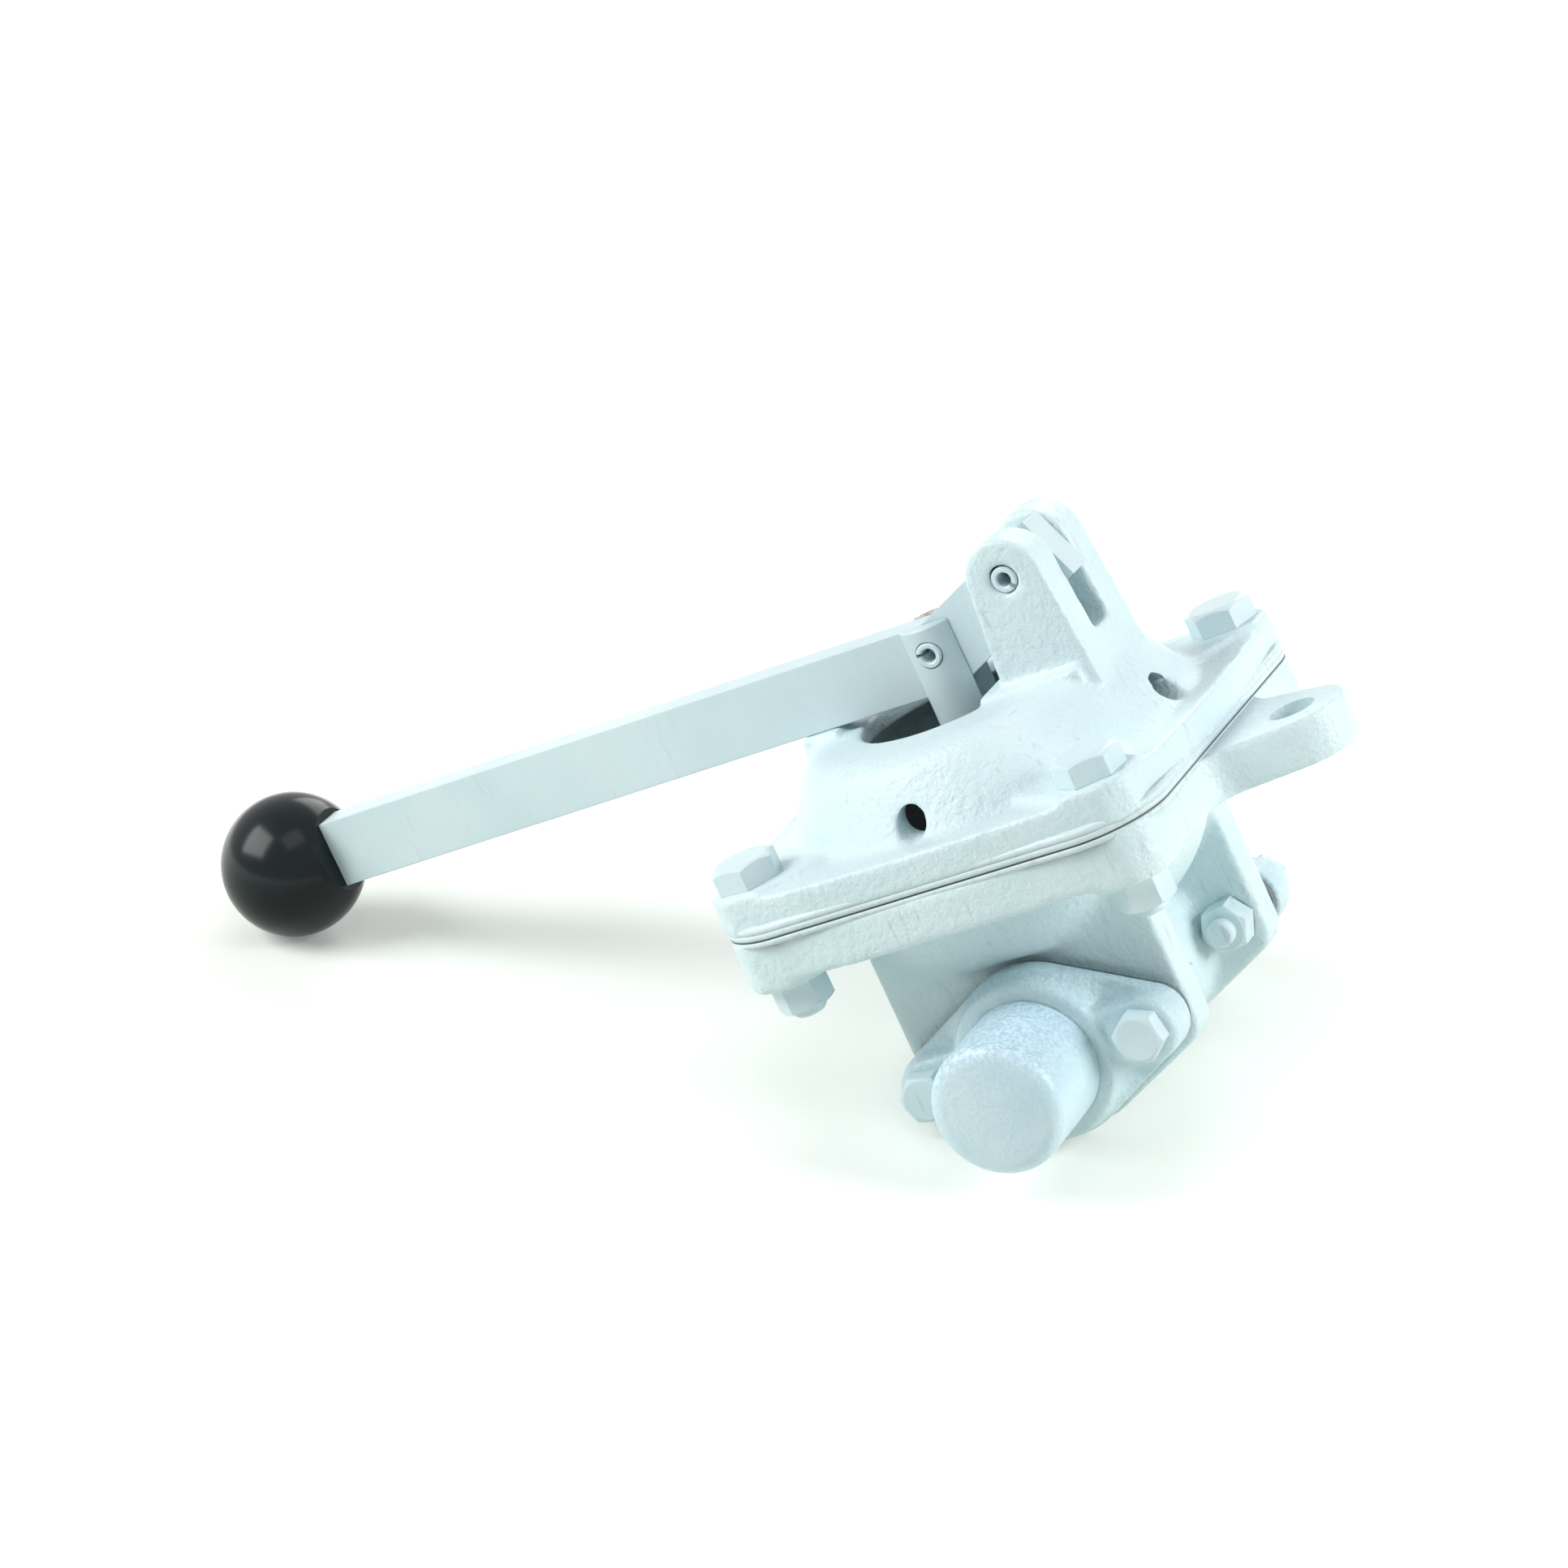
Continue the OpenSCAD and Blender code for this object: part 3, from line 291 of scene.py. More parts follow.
def soft_casting(name, parts, voxel, rounds, bores=(), flats=()):
    """A cast skin over machined solids. The solids become one even net of squares voxel wide,
    and softening rounds its edges and corners into fillets. Bores are closed before the net
    and drilled again at the end."""
    body = bmesh.new()
    for part in parts:
        body.from_mesh(nodes[part].data)
    bmesh.ops.remove_doubles(body, verts=body.verts, dist=1e-6)
    close_bores(body, bores)
    mesh = bpy.data.meshes.new(name + "_solids")
    body.to_mesh(mesh)
    body.free()
    piece = linked(name, mesh)
    net = piece.modifiers.new("net", "REMESH")
    net.mode = "VOXEL"
    net.voxel_size = voxel
    apply_modifiers(piece)
    piece.data.materials.clear()
    soften(piece.data, voxel, rounds, flats)
    if bores:
        drill_bores(piece, bores)
    shade_smooth(piece.data, 50.0)
    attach(piece, "casing")
    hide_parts(*parts)
    return piece


def new_group(name, inputs, outputs):
    """An empty node group with named sockets: inputs as (name, kind, default), and outputs as
    (name, kind)."""
    group = bpy.data.node_groups.new(name, "ShaderNodeTree")
    for label, kind, value in inputs:
        socket = group.interface.new_socket(label, in_out="INPUT", socket_type=kind)
        if value is not None:
            socket.default_value = value
    for label, kind in outputs:
        group.interface.new_socket(label, in_out="OUTPUT", socket_type=kind)
    return group, group.nodes.new("NodeGroupInput"), group.nodes.new("NodeGroupOutput")


def blend(tree, amount, one, other):
    """Colour one turned into colour other by the mask amount."""
    node = add(tree, "ShaderNodeMix", [("Factor", amount)], data_type="RGBA")
    for socket, colour in ((node.inputs[6], one), (node.inputs[7], other)):
        if hasattr(colour, "is_linked"):
            tree.links.new(colour, socket)
        else:
            socket.default_value = (*colour, 1.0)
    return node.outputs[2]


# Sprayed coat: orange-peel bumps over a sandy skin, with slow patches of tone
coat, entry, leave = new_group(
    "sprayed_coat",
    [
        ("Vector", "NodeSocketVector", None),
        ("Grain scale", "NodeSocketFloat", 900.0),
        ("Sand", "NodeSocketFloat", 0.5),
    ],
    [("Height", "NodeSocketFloat"), ("Patch", "NodeSocketFloat"), ("Speck", "NodeSocketFloat")],
)
at = ("Vector", entry.outputs["Vector"])
grain_links = [at, ("Scale", entry.outputs["Grain scale"])]
grain = add(coat, "ShaderNodeTexNoise", grain_links, Detail=2.0, Roughness=0.55)
pits = add(coat, "ShaderNodeTexNoise", [at], Scale=330.0, Detail=3.0, Roughness=0.6)
sand = product(coat, ramp(coat, pits.outputs["Fac"], 0.3, 0.62), entry.outputs["Sand"])
height = add(coat, "ShaderNodeMath", [(0, grain.outputs["Fac"]), (1, sand)], operation="ADD")
patch = add(coat, "ShaderNodeTexNoise", [at], Scale=22.0, Detail=4.0, Roughness=0.55)
speck = add(coat, "ShaderNodeTexNoise", [at], Scale=1400.0, Detail=1.0)
coat.links.new(height.outputs[0], leave.inputs["Height"])
coat.links.new(patch.outputs["Fac"], leave.inputs["Patch"])
coat.links.new(speck.outputs["Fac"], leave.inputs["Speck"])

# Handling marks: short upright drags, rub-through along edges and rare chips
marks, entry, leave = new_group(
    "handling_marks",
    [("Vector", "NodeSocketVector", None), ("Edge", "NodeSocketFloat", 0.5)],
    [("Drag", "NodeSocketFloat"), ("Rub", "NodeSocketFloat"), ("Chip", "NodeSocketFloat")],
)
at = ("Vector", entry.outputs["Vector"])
stretch = add(marks, "ShaderNodeMapping", [at], Scale=(1.0, 1.0, 0.12))
upright = add(
    marks, "ShaderNodeTexNoise", [("Vector", stretch.outputs[0])], Scale=420.0, Detail=2.0, Roughness=0.6
)
drag_place = add(marks, "ShaderNodeTexNoise", [at], Scale=55.0, Detail=2.0)
drag = ramp(marks, upright.outputs["Fac"], 0.58, 0.7)
drag = product(marks, drag, ramp(marks, drag_place.outputs["Fac"], 0.48, 0.62))
rubbed = add(marks, "ShaderNodeTexNoise", [at], Scale=260.0, Detail=4.0, Roughness=0.7)
edge = ramp(marks, entry.outputs["Edge"], 0.53, 0.62)
rub = product(marks, edge, ramp(marks, rubbed.outputs["Fac"], 0.52, 0.66))
dots = add(marks, "ShaderNodeTexVoronoi", [at], Scale=70.0, Randomness=1.0)
chip_place = add(marks, "ShaderNodeTexNoise", [at], Scale=31.0, Detail=1.0)
chip = ramp(marks, dots.outputs["Distance"], 0.09, 0.05)
chip = product(marks, chip, ramp(marks, chip_place.outputs["Fac"], 0.66, 0.70))
marks.links.new(drag, leave.inputs["Drag"])
marks.links.new(rub, leave.inputs["Rub"])
marks.links.new(chip, leave.inputs["Chip"])


def enamel(
    name, light, dark, grain_scale, sand, depth, rough, drag=0.5, rub=0.5, mottle=0.0, rounding=0.0
):
    """Pale enamel: two close tones in slow patches, a fine speckle, upright drag marks, rubbed
    edges and small chips, over the bumps of the sprayed coat. mottle adds blue grains where
    dry spray fell on upper sides, and rounding softens sharp edges."""
    material, tree, bsdf = new_finish(name)
    at = ("Vector", add(tree, "ShaderNodeTexCoord").outputs["Object"])
    geometry = add(tree, "ShaderNodeNewGeometry")
    skin = add(tree, "ShaderNodeGroup", [at], node_tree=coat, Grain_scale=grain_scale, Sand=sand)
    wear = add(tree, "ShaderNodeGroup", [at, ("Edge", geometry.outputs["Pointiness"])], node_tree=marks)
    colour = blend(tree, ramp(tree, skin.outputs["Patch"], 0.38, 0.62), dark, light)
    speckle = ramp(tree, skin.outputs["Speck"], 0.62, 0.75, 0.0, 0.35)
    colour = blend(tree, speckle, colour, tuple(0.86 * c for c in dark))
    if mottle:
        facing = add(tree, "ShaderNodeSeparateXYZ", [(0, geometry.outputs["Normal"])])
        grains = add(tree, "ShaderNodeTexNoise", [at], Scale=620.0, Detail=4.0, Roughness=0.75)
        fall = ramp(tree, facing.outputs["Z"], -0.1, 0.75)
        fall = product(tree, fall, ramp(tree, grains.outputs["Fac"], 0.44, 0.58))
        colour = blend(tree, product(tree, fall, mottle), colour, (0.36, 0.50, 0.66))
    amounts = {"Drag": drag, "Rub": rub, "Chip": 0.6}
    tones = {"Drag": (0.50, 0.55, 0.56), "Rub": (0.47, 0.43, 0.36), "Chip": (0.16, 0.19, 0.22)}
    for mark, amount in amounts.items():
        colour = blend(tree, product(tree, wear.outputs[mark], amount), colour, tones[mark])
    tree.links.new(colour, bsdf.inputs["Base Color"])
    bump = add(tree, "ShaderNodeBump", [("Height", skin.outputs["Height"])], Strength=1.0, Distance=depth)
    if rounding:
        soft = add(tree, "ShaderNodeBevel", samples=6, Radius=rounding)
        tree.links.new(soft.outputs[0], bump.inputs["Normal"])
    tree.links.new(bump.outputs[0], bsdf.inputs["Normal"])
    dullness = ramp(tree, skin.outputs["Patch"], 0.35, 0.65, rough + 0.05, rough - 0.05)
    tree.links.new(dullness, bsdf.inputs["Roughness"])
    return material


def dress(names, material):
    """Puts a material in every slot of the named CAD nodes."""
    for name in names:
        for slot in nodes[name].material_slots:
            slot.material = material


cast_enamel = enamel(
    "cast_enamel",
    light=(0.665, 0.80, 0.83),
    dark=(0.61, 0.76, 0.79),
    grain_scale=620.0,
    sand=0.9,
    depth=0.00024,
    rough=0.40,
)
pump_x = -0.113
lug_half = 0.0085
lug_hole_r = 0.0085
drill_past = 0.002
lug_hole = ((0.0, 0.0, -lug_half), (0, 0, 1), lug_hole_r, lug_half + drill_past)
lower_casing = soft_casting(
    "cast_lower_casing",
    ("lower_casing", "casing_bowl", "valve_chest", "outlet_plate", "inlet_plate"),
    voxel=0.0014,
    rounds=6,
    bores=[lug_hole],
    flats=[(2, 0.0)],
)
lower_casing.data.materials.append(cast_enamel)


# Valves. Each port plate holds a bronze seat ring, and a steel clack with a bonded rubber
# facing hangs from a pin between the ring's two lugs.
def plain_finish(name, colour, metallic, rough, grain_scale, depth):
    """One finish that drifts slowly towards a darker tone, with a fine grain in its bump."""
    material, tree, bsdf = new_finish(name)
    at = ("Vector", add(tree, "ShaderNodeTexCoord").outputs["Object"])
    skin = add(tree, "ShaderNodeGroup", [at], node_tree=coat, Grain_scale=grain_scale, Sand=0.2)
    deep = tuple(0.85 * c for c in colour)
    tone = blend(tree, ramp(tree, skin.outputs["Patch"], 0.35, 0.65), deep, colour)
    tree.links.new(tone, bsdf.inputs["Base Color"])
    bump = add(tree, "ShaderNodeBump", [("Height", skin.outputs["Height"])], Distance=depth)
    tree.links.new(bump.outputs[0], bsdf.inputs["Normal"])
    bsdf.inputs["Metallic"].default_value = metallic
    bsdf.inputs["Roughness"].default_value = rough
    return material


# Each port's name, and the side of the pump that it is on, along Y
ports = {"outlet": -1.0, "inlet": 1.0}
plated_steel = plain_finish(
    "plated_steel", (0.22, 0.225, 0.23), metallic=0.6, rough=0.62, grain_scale=600.0, depth=0.00002
)
black_rubber = plain_finish(
    "black_rubber", (0.035, 0.041, 0.043), metallic=0.0, rough=0.62, grain_scale=900.0, depth=0.00004
)
seat_bronze = plain_finish(
    "seat_bronze", (0.62, 0.45, 0.22), metallic=1.0, rough=0.35, grain_scale=600.0, depth=0.00002
)
dress([f"{side}_seat" for side in ports], seat_bronze)
dress([f"{side}_{piece}" for side in ports for piece in ("clack", "hinge_pin")], plated_steel)
dress([f"{side}_facing" for side in ports], black_rubber)


# Port gaskets. Flat rings of black sheet rubber between a port plate and its pipe flange,
# squeezed by two bolts. Overspray has greyed the edge that shows.
# The same grey colours the diaphragm's dark seam groove, where it is painted shade.
greyed_rubber_and_seam_shade = plain_finish(
    "greyed_rubber_and_seam_shade", (0.17, 0.21, 0.225), metallic=0.0, rough=0.7, grain_scale=900.0, depth=0.00004
)
dress([f"{side}_gasket" for side in ports], greyed_rubber_and_seam_shade)


# Pipe flanges. Iron castings with a thin two-bolt rim, raised bolt pads and a hub that takes
# the pipe. The enamel lies thicker and more speckled on them.
flange_enamel = enamel(
    "flange_enamel",
    light=(0.62, 0.77, 0.80),
    dark=(0.54, 0.71, 0.76),
    grain_scale=520.0,
    sand=1.1,
    depth=0.00024,
    rough=0.38,
    rub=0.8,
    mottle=0.35,
)
for side in ports:
    pipe_flange = soft_casting(f"{side}_cast_flange", [f"{side}_flange"], voxel=0.0007, rounds=5)
    pipe_flange.data.materials.append(flange_enamel)


# Pipe stubs. Thick steel tube pressed into the flange's hub, with a round-edged blanking cap
# driven into its open end. Tube and cap are painted over as one.
pipe_enamel = enamel(
    "pipe_enamel",
    light=(0.63, 0.785, 0.83),
    dark=(0.53, 0.71, 0.79),
    grain_scale=700.0,
    sand=0.6,
    depth=0.00018,
    rough=0.36,
    drag=0.1,
    rub=0.2,
    mottle=0.85,
)
turn_steps = 144


def ring_quads(rows, steps):
    """Quads of a net of rows rings with steps points each, as an array (rows - 1, steps, 4)."""
    i, j = np.meshgrid(np.arange(rows - 1), np.arange(steps), indexing="ij")
    k = (j + 1) % steps
    return np.stack([i * steps + j, i * steps + k, (i + 1) * steps + k, (i + 1) * steps + j], -1)


def round_forms(name, rings, places, body="casing"):
    """Closed forms round axes, joined in one mesh. rings lists (distance, radius) from pole to
    pole, and either may differ over the turn_steps directions u. At each place (centre, axis,
    across) a point is centre + distance * axis + radius * (cos u * across + sin u * (axis x
    across))."""
    u = np.linspace(0.0, 2.0 * np.pi, turn_steps, endpoint=False)[:, None]
    along = np.stack([np.broadcast_to(distance, turn_steps) for distance, radius in rings])[..., None]
    reach = np.stack([np.broadcast_to(radius, turn_steps) for distance, radius in rings])[..., None]
    quads = ring_quads(len(rings), turn_steps).reshape(-1, 4)
    points, faces = [], []
    for number, (centre, axis, across) in enumerate(places):
        axis, across = np.array(axis, float), np.array(across, float)
        ring = np.cos(u) * across + np.sin(u) * np.cross(axis, across)
        points.append((centre + along * axis + reach * ring).reshape(-1, 3))
        faces.append(quads + number * len(rings) * turn_steps)
    mesh = bpy.data.meshes.new(name)
    mesh.from_pydata(np.concatenate(points).tolist(), [], np.concatenate(faces).tolist())
    shell = bmesh.new()
    shell.from_mesh(mesh)
    bmesh.ops.remove_doubles(shell, verts=shell.verts, dist=1e-7)
    bmesh.ops.recalc_face_normals(shell, faces=shell.faces)
    shell.to_mesh(mesh)
    shell.free()
    shade_smooth(mesh, 25.0)
    piece = linked(name, mesh)
    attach(piece, body)
    return piece


# Ends and faces are given as distances from the pump's axis along the port's own
port_z = -0.076
flange_face = 0.0655
pipe_r = 0.02415
pipe_start = 0.0535
pipe_end = 0.106
pipe_tail_r = 0.023
bore_r = 0.0206
bore_edge = 0.001
cap_t = 0.012
rim_r = 0.0065
crown = 0.0008


def capped_pipe_rings():
    """Rings from the middle of the cap's inner face along the bore, round the tail and the
    outside, over a quarter turn of the rim and in over the cap. At radius r the cap's face
    lies crown times the square of r / face_r behind its middle."""
    cap_back = pipe_end - cap_t
    inside = [(cap_back, 0.0), (cap_back, bore_r - bore_edge), (cap_back + bore_edge, bore_r)]
    tail = [(pipe_start, bore_r), (pipe_start, pipe_tail_r), (flange_face, pipe_tail_r)]
    outside = [(distance, pipe_r) for distance in np.linspace(flange_face, pipe_end - rim_r, 12)[:-1]]
    t = np.linspace(0.0, np.pi / 2, 14)
    rim_distance = pipe_end - rim_r + (rim_r - crown) * np.sin(t)
    rim = np.stack([rim_distance, pipe_r - rim_r + rim_r * np.cos(t)], 1)
    face_r = rim[-1, 1]
    r = np.linspace(face_r, 0.0, 12)[1:]
    face = np.stack([pipe_end - crown * (r / face_r) ** 2, r], 1)
    return np.concatenate([inside, tail, outside, rim, face])


for side, sign in ports.items():
    port = ((pump_x, 0.0, port_z), (0.0, sign, 0.0), (1.0, 0.0, 0.0))
    stub = round_forms(f"{side}_capped_pipe", capped_pipe_rings(), [port])
    stub.data.materials.append(pipe_enamel)
    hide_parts(f"{side}_pipe", f"{side}_cap")


# Port bolts and nuts. Forged hexagons with turned chamfers, two through each pipe flange and
# port plate, painted over with the pump.
bolt_enamel = enamel(
    "bolt_enamel",
    light=(0.66, 0.79, 0.82),
    dark=(0.58, 0.73, 0.77),
    grain_scale=700.0,
    sand=0.4,
    depth=0.00006,
    rough=0.36,
    rub=0.0,
    rounding=0.0006,
)
# Radius of the flat inside a hexagon's turned chamfer as a share of its size across flats,
# the chamfer's fall for each unit outwards, and the small chamfer on a shank's end
flat_share = 0.45
chamfer_fall = 0.55
shank_chamfer = 0.001


def hexagon(flats):
    """Distance from the middle of a hexagon to its outline, and how far its turned chamfer has
    come down there, in each direction. The first direction is square to a side."""
    u = np.linspace(0.0, 2.0 * np.pi, turn_steps, endpoint=False)
    outline = flats / 2 / np.cos((u + np.pi / 6) % (np.pi / 3) - np.pi / 6)
    return outline, chamfer_fall * (outline - flat_share * flats)


def bolt_rings(flats, head, shank, shank_r):
    """Rings of a hexagon bolt that is seated at distance 0, from its head to its end."""
    outline, fall = hexagon(flats)
    top = [(head, 0.0), (head, flat_share * flats), (head - fall, outline), (0.0, outline)]
    end = [(shank_chamfer - shank, shank_r), (-shank, shank_r - shank_chamfer), (-shank, 0.0)]
    return top + [(0.0, shank_r)] + end


def nut_rings(flats, height):
    """Rings of a hexagon nut from its seat at distance 0, chamfered on its outer end."""
    outline, fall = hexagon(flats)
    return [(0.0, 0.0), (0.0, outline), (height - fall, outline), (height, flat_share * flats), (height, 0.0)]


port_bolt_x = 0.043
port_bolt_flats = 0.0165
port_bolt_head = 0.0072
port_bolt_shank = 0.0453
port_bolt_r = 0.005
port_nut_h = 0.0095
pad_face = 0.063
plate_back = 0.0315
for side, sign in ports.items():
    heads, backs = [], []
    for end, turn in ((-1.0, 81.0), (1.0, 70.0)):
        across = (-sign * np.cos(np.radians(turn)), 0.0, np.sin(np.radians(turn)))
        x = pump_x - sign * end * port_bolt_x
        heads.append(((x, sign * pad_face, port_z), (0.0, sign, 0.0), across))
        backs.append(((x, sign * plate_back, port_z), (0.0, -sign, 0.0), across))
    rings = bolt_rings(port_bolt_flats, port_bolt_head, port_bolt_shank, port_bolt_r)
    bolts = round_forms(f"{side}_forged_bolts", rings, heads)
    nuts = round_forms(f"{side}_forged_nuts", nut_rings(port_bolt_flats, port_nut_h), backs)
    for piece, node in ((bolts, f"{side}_bolts"), (nuts, f"{side}_nuts")):
        piece.data.materials.append(bolt_enamel)
        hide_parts(node)


# Diaphragm. One moulded sheet of rubber: a flat border clamped between the castings, one
# rolled convolution and a hub between two steel plates. Paint covers its edge, and a dark
# seam shows where the edge meets the lower casing, a shallow groove coloured with painted shade.

# The sheet is 1 mm thicker here than its solid, and that much of its border and of its hub
# lies hidden in the cover and in the upper plate
diaphragm_t = 0.004
hub_z = -0.0195
plate_r = 0.040
chamber_r = 0.063
stud_r = 0.008
clamped_lip = 0.002
flange_half = 0.088
corner_r = 0.028
edge_step = 0.0004

# Edge of the border from its top down, as (inset, height). The band of enamel is taller than
# the sheet and fills the round edges of both castings, with a faint and a dark groove in it.
# The dark groove is coloured grey as painted shade, the shade of the seam's crease.
band_top = [(0.0034, 0.0064), (0.0012, 0.0057), (0.0002, 0.0052)]
faint_groove = [(0.0001, 0.0035), (0.0004, 0.0034), (0.0004, 0.0032), (0.0001, 0.0031)]
dark_groove = [(0.0001, 0.0012), (0.0007, 0.0011), (0.0007, 0.0006), (0.0001, 0.0005)]
band_foot = [(0.0002, -0.0012), (0.0012, -0.0017)]
border_edge = band_top + faint_groove + dark_groove + band_foot


def outline_reach(u):
    """Distance from the axis to the flange's outline in direction u: a square with round
    corners, that is a square grown from corner circles, met by a ray from the middle."""
    c, s = np.abs(np.cos(u)), np.abs(np.sin(u))
    straight = flange_half / np.maximum(c, s)
    m = flange_half - corner_r
    b = m * (c + s)
    round_end = b + np.sqrt(np.maximum(b * b - 2.0 * m * m + corner_r**2, 0.0))
    in_corner = np.minimum(c, s) * straight > m
    return np.where(in_corner, round_end, straight)


def diaphragm_sheet():
    """Rings from the stud's hole out over the upper side, round the border's edge and back
    in under the lower side. Ring radii go from the hole to the chamber wall, and past it
    spread to the outline's reach; the height falls by half a cosine over the convolution.
    Returns the points, the quads and each quad's material: rubber, enamel, or greyed rubber
    as painted shade in the dark groove."""
    steps = 360
    u = np.linspace(0.0, 2.0 * np.pi, steps, endpoint=False)
    reach = outline_reach(u) - edge_step
    inner = np.concatenate([np.linspace(stud_r, plate_r, 6), np.linspace(plate_r, chamber_r, 22)[1:]])
    t = (inner - plate_r - clamped_lip) / (chamber_r - plate_r - 2.0 * clamped_lip)
    drop = hub_z * (1.0 + np.cos(np.pi * np.clip(t, 0.0, 1.0))) / 2.0
    upper_border = [(chamber_r + part * (reach - chamber_r), diaphragm_t) for part in (0.35, 0.7, 0.97)]
    edge = [(reach - inset, z) for inset, z in border_edge]
    lower_border = [(chamber_r + part * (reach - chamber_r), 0.0) for part in (0.95, 0.7, 0.35)]
    rings = list(zip(inner, drop + diaphragm_t)) + upper_border + edge + lower_border
    rings += list(zip(inner[::-1], drop[::-1]))
    radii = np.stack([np.broadcast_to(radius, steps) for radius, z in rings])
    heights = np.stack([np.broadcast_to(z, steps) for radius, z in rings])
    points = np.stack([pump_x + radii * np.cos(u), radii * np.sin(u), heights], -1).reshape(-1, 3)

    # The last ring closes on the first, and the quads turn so that they face outwards
    rows = len(rings)
    quads = (ring_quads(rows + 1, steps) % (rows * steps))[..., [0, 3, 2, 1]].reshape(-1, 4)
    edge_row = len(inner) + len(upper_border)
    groove_row = edge_row + len(band_top) + len(faint_groove)
    finish = np.zeros((rows, steps), dtype=np.int32)
    finish[edge_row - 1 : edge_row + len(border_edge) - 1] = 1
    # The dark groove takes the grey rubber finish as painted shade in the seam's crease.
    finish[groove_row : groove_row + len(dark_groove) - 1] = 2
    return points, quads, finish.ravel()


edge_enamel = enamel(
    "edge_enamel",
    light=(0.665, 0.80, 0.83),
    dark=(0.60, 0.72, 0.74),
    grain_scale=620.0,
    sand=0.7,
    depth=0.00012,
    rough=0.42,
    drag=0.8,
    rub=0.8,
)
points, quads, finish = diaphragm_sheet()
sheet_mesh = bpy.data.meshes.new("diaphragm_sheet")
sheet_mesh.from_pydata(points.tolist(), [], quads.tolist())
sheet_mesh.polygons.foreach_set("use_smooth", np.ones(len(quads), dtype=bool))
for material in (black_rubber, edge_enamel, greyed_rubber_and_seam_shade):
    sheet_mesh.materials.append(material)
sheet_mesh.polygons.foreach_set("material_index", finish)
diaphragm = linked("diaphragm_sheet", sheet_mesh)
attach(diaphragm, "casing")
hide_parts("diaphragm")
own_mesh(diaphragm)
dress(["upper_plate", "lower_plate", "rod_washer", "rod_nut"], plated_steel)


# Top cover. Iron casting with a vented dome, four bolt pads that run into it, and the two
# ears of the lever bracket. Sprayed with the lower casing after assembly.

# The net is held at the level of the sheet's top, 1 mm above the cover's foot. The pin's bore
# and the vents are drilled 1 mm above the solid's own, which stay open, so that each is about
# 1 mm taller than it is wide
pivot_x = 0.044
pin_bore_z = 0.0805
pin_bore_r = 0.005
ear_outer = 0.0215
vent_reach = 0.068
vent_z = 0.0215
vent_r = 0.0055
vent_half = 0.011
cover_bores = [((pump_x + pivot_x, 0.0, pin_bore_z), (0, 1, 0), pin_bore_r, ear_outer)]
for out_x, out_y in ((1, 0), (0, 1), (-1, 0), (0, -1)):
    vent_middle = (pump_x + vent_reach * out_x, vent_reach * out_y, vent_z)
    cover_bores.append((vent_middle, (out_x, out_y, 0), vent_r, vent_half))
top_cover = soft_casting(
    "cast_top_cover", ["top_cover"], voxel=0.00105, rounds=7, bores=cover_bores, flats=[(2, diaphragm_t)]
)
top_cover.data.materials.append(cast_enamel)
dress(["cover_nuts"], bolt_enamel)


# Cover bolts. Four larger forged hexagon bolts that clamp the cover, the diaphragm and the
# lower casing, each driven to its own angle and painted over with the pump.
cover_bolt_x = 0.069
cover_bolt_seat = 0.0175
cover_bolt_flats = 0.022
cover_bolt_head = 0.0088
cover_bolt_shank = 0.0513
cover_bolt_r = 0.006
places = []
for x, y, turn in ((1, -1, -5.0), (-1, -1, 20.0), (1, 1, 42.0), (-1, 1, 10.0)):
    seat = (pump_x + x * cover_bolt_x, y * cover_bolt_x, cover_bolt_seat)
    across = (np.cos(np.radians(turn)), np.sin(np.radians(turn)), 0.0)
    places.append((seat, (0.0, 0.0, 1.0), across))
rings = bolt_rings(cover_bolt_flats, cover_bolt_head, cover_bolt_shank, cover_bolt_r)
cover_bolts = round_forms("forged_cover_bolts", rings, places)
cover_bolts.data.materials.append(bolt_enamel)
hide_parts("cover_bolts")


# Pull rod. A turned bar with a sawn slot for the lever, enamelled. The top of its far prong
# has lost the paint in places and rusted.
rod_enamel = enamel(
    "rod_enamel",
    light=(0.58, 0.71, 0.74),
    dark=(0.53, 0.67, 0.70),
    grain_scale=800.0,
    sand=0.3,
    depth=0.00006,
    rough=0.40,
    rub=0.0,
    drag=0.2,
    rounding=0.0006,
)
dress(["pull_rod"], rod_enamel)
prong_top = 0.070
prong_inside = 0.004
rust_starts = prong_top - 0.0022
rust_full = prong_top - 0.0008
rust_fade = 0.002
tree = rod_enamel.node_tree
place = add(tree, "ShaderNodeTexCoord").outputs["Object"]
across_rod = add(tree, "ShaderNodeSeparateXYZ", [(0, place)])
ragged = add(tree, "ShaderNodeTexNoise", [("Vector", place)], Scale=260.0, Detail=3.0)
bare = ramp(tree, across_rod.outputs["Z"], rust_starts, rust_full)
bare = product(tree, bare, ramp(tree, across_rod.outputs["Y"], prong_inside, prong_inside + rust_fade))
bare = product(tree, bare, ramp(tree, ragged.outputs["Fac"], 0.42, 0.5))
base_colour = tree.nodes["Principled BSDF"].inputs["Base Color"]
painted = base_colour.links[0].from_socket
tree.links.new(blend(tree, bare, painted, (0.34, 0.19, 0.07)), base_colour)


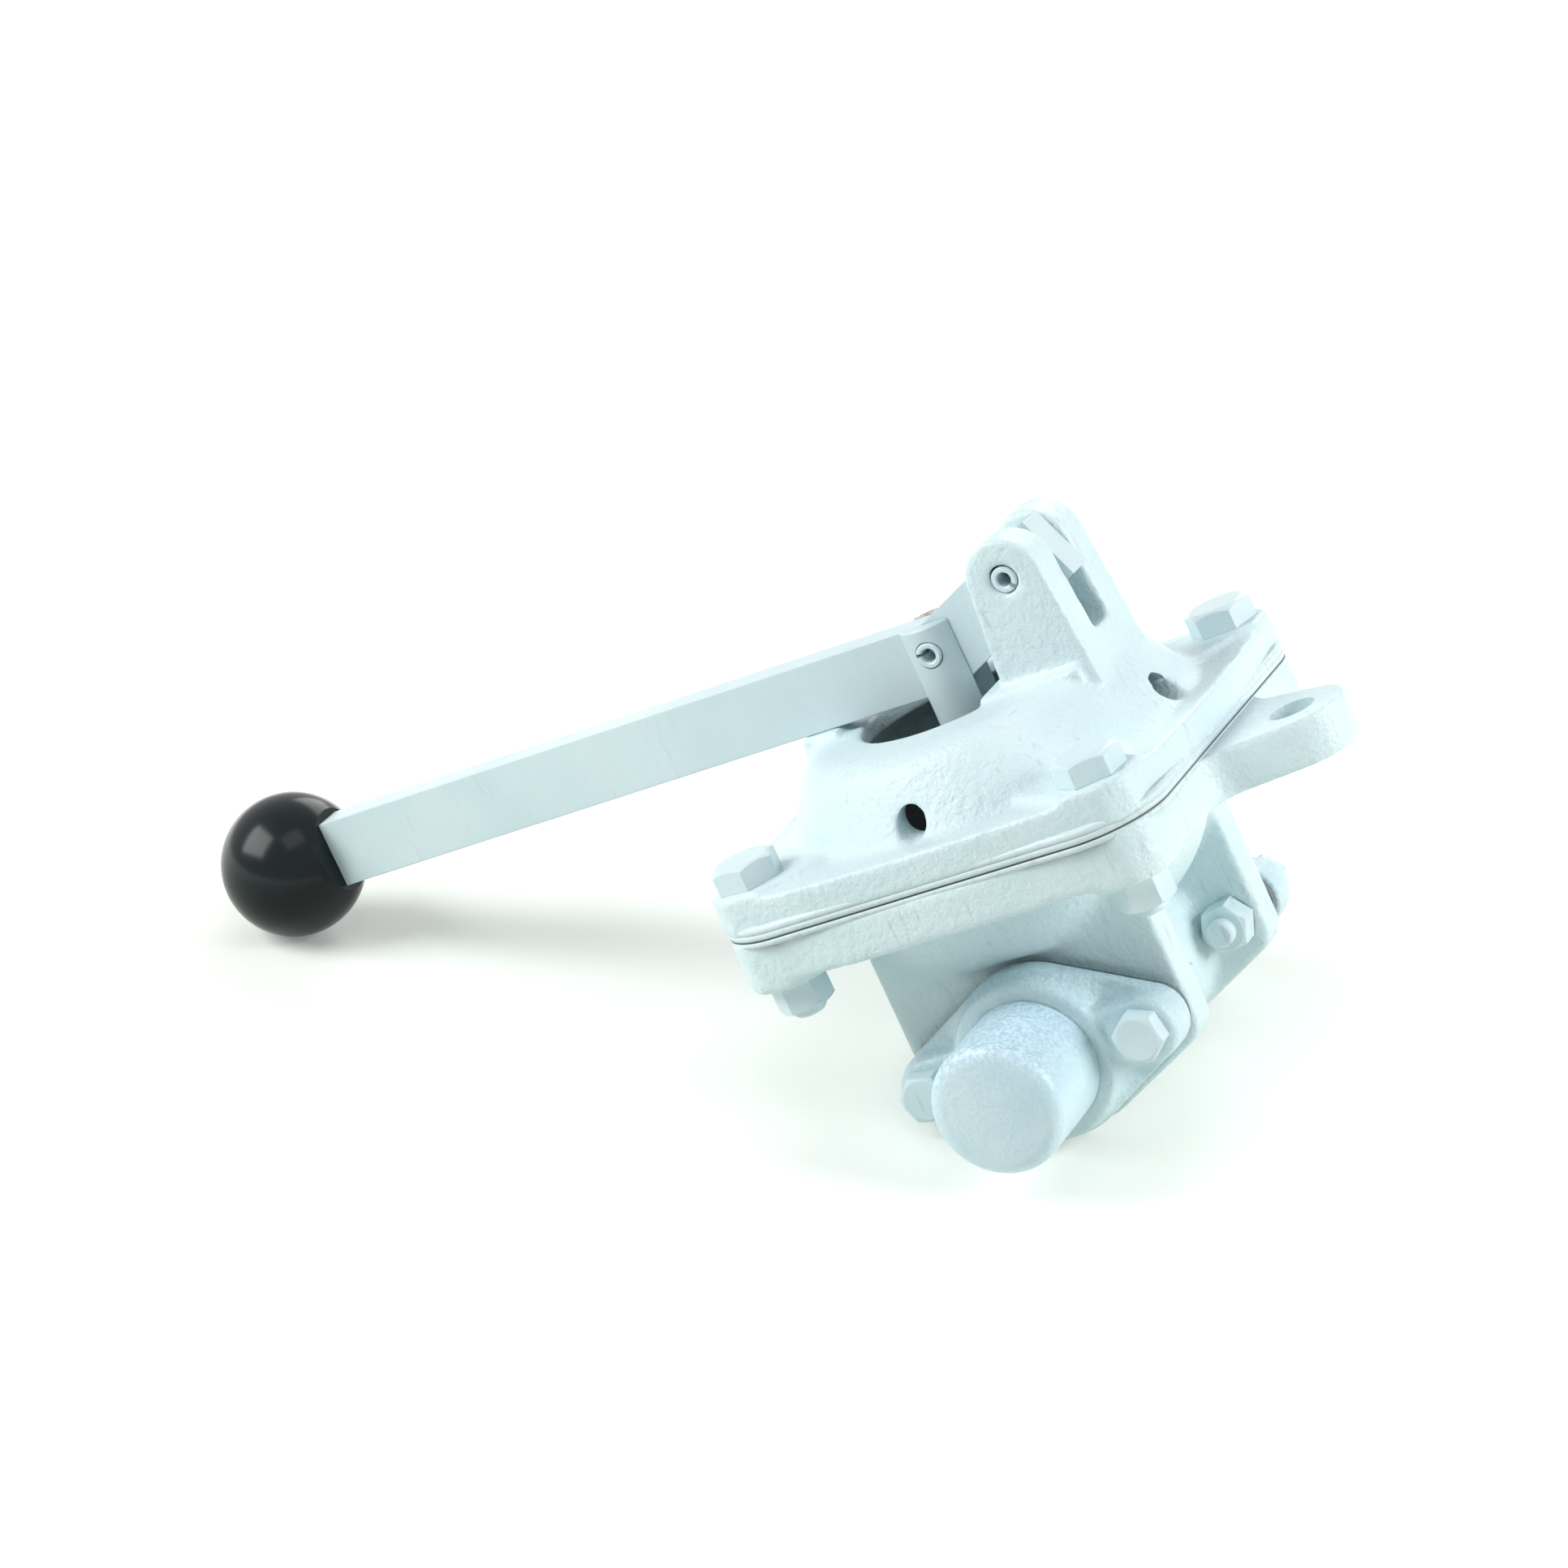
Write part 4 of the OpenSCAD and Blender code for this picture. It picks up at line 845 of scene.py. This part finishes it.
# Slotted pins. Rolled spring steel with a slit along one side, a little smaller than the holes
# they are painted into, so a dark ring shows round each end.
def slotted_pin(name, centre, half, slit_turn, body, node):
    """A tube round a line along Y, open along a slit at slit_turn degrees from +X to +Z. Its
    section runs round the outside and back round the bore, and both ends are chamfered."""
    outer, bore, slit_half, chamfer = 0.0047, 0.0026, 0.0008, 0.0005
    steps = 60
    rows = [(-half, chamfer), (chamfer - half, 0.0), (half - chamfer, 0.0), (half, chamfer)]
    loops = []
    for y, less in rows:
        for radius, way in ((outer - less, 1), (bore + less, -1)):
            gap = np.arcsin(slit_half / radius)
            u = (np.radians(slit_turn) + np.linspace(gap, 2.0 * np.pi - gap, steps))[::way]
            loops.append(np.stack([radius * np.cos(u), np.full(steps, y), radius * np.sin(u)], 1))
    points = np.concatenate(loops) + centre
    around = 2 * steps
    sides = ring_quads(len(rows), around).reshape(-1, 4)
    out = np.arange(steps - 1)
    back_in = around - 1 - out
    first = np.stack([out, back_in, back_in - 1, out + 1], 1)
    last = np.stack([out, out + 1, back_in - 1, back_in], 1) + (len(rows) - 1) * around
    mesh = bpy.data.meshes.new(name)
    mesh.from_pydata(points.tolist(), [], np.concatenate([sides, first, last]).tolist())
    mesh.materials.append(pin_enamel)
    pin = linked(name, mesh)
    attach(pin, body)
    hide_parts(node)


pin_enamel = enamel(
    "pin_enamel",
    light=(0.66, 0.79, 0.82),
    dark=(0.58, 0.73, 0.77),
    grain_scale=800.0,
    sand=0.3,
    depth=0.00006,
    rough=0.36,
    rub=0.0,
    drag=0.0,
)
rod_pin_middle = (pump_x, 0.0, 0.060)
pivot_pin_middle = (pump_x + pivot_x, 0.0, 0.0795)
slotted_pin("slotted_rod_pin", rod_pin_middle, half=0.0122, slit_turn=165.0, body="rod", node="rod_pin")
slotted_pin(
    "slotted_pivot_pin", pivot_pin_middle, half=0.0218, slit_turn=-50.0, body="casing", node="pivot_pin"
)


# Lever. Flat steel bar, bent near the rod and drilled for the pivot pin and the rod pin. It
# is enamelled like the rod, with fewer drag marks than the castings.
lever_enamel = enamel(
    "lever_enamel",
    light=(0.625, 0.755, 0.785),
    dark=(0.585, 0.72, 0.75),
    grain_scale=700.0,
    sand=0.3,
    depth=0.00006,
    rough=0.42,
    rub=0.0,
    drag=0.2,
    rounding=0.0007,
)
dress(["lever"], lever_enamel)


# Ball knob. A moulded ball of glossy black plastic, pressed on the lever's lower end, where
# a flat on the ball meets the bar.
black_knob = plain_finish(
    "black_knob", (0.003, 0.008, 0.009), metallic=0.0, rough=0.2, grain_scale=500.0, depth=0.000004
)
black_knob.node_tree.nodes["Principled BSDF"].inputs["Specular IOR Level"].default_value = 0.22
dress(["ball_knob"], black_knob)
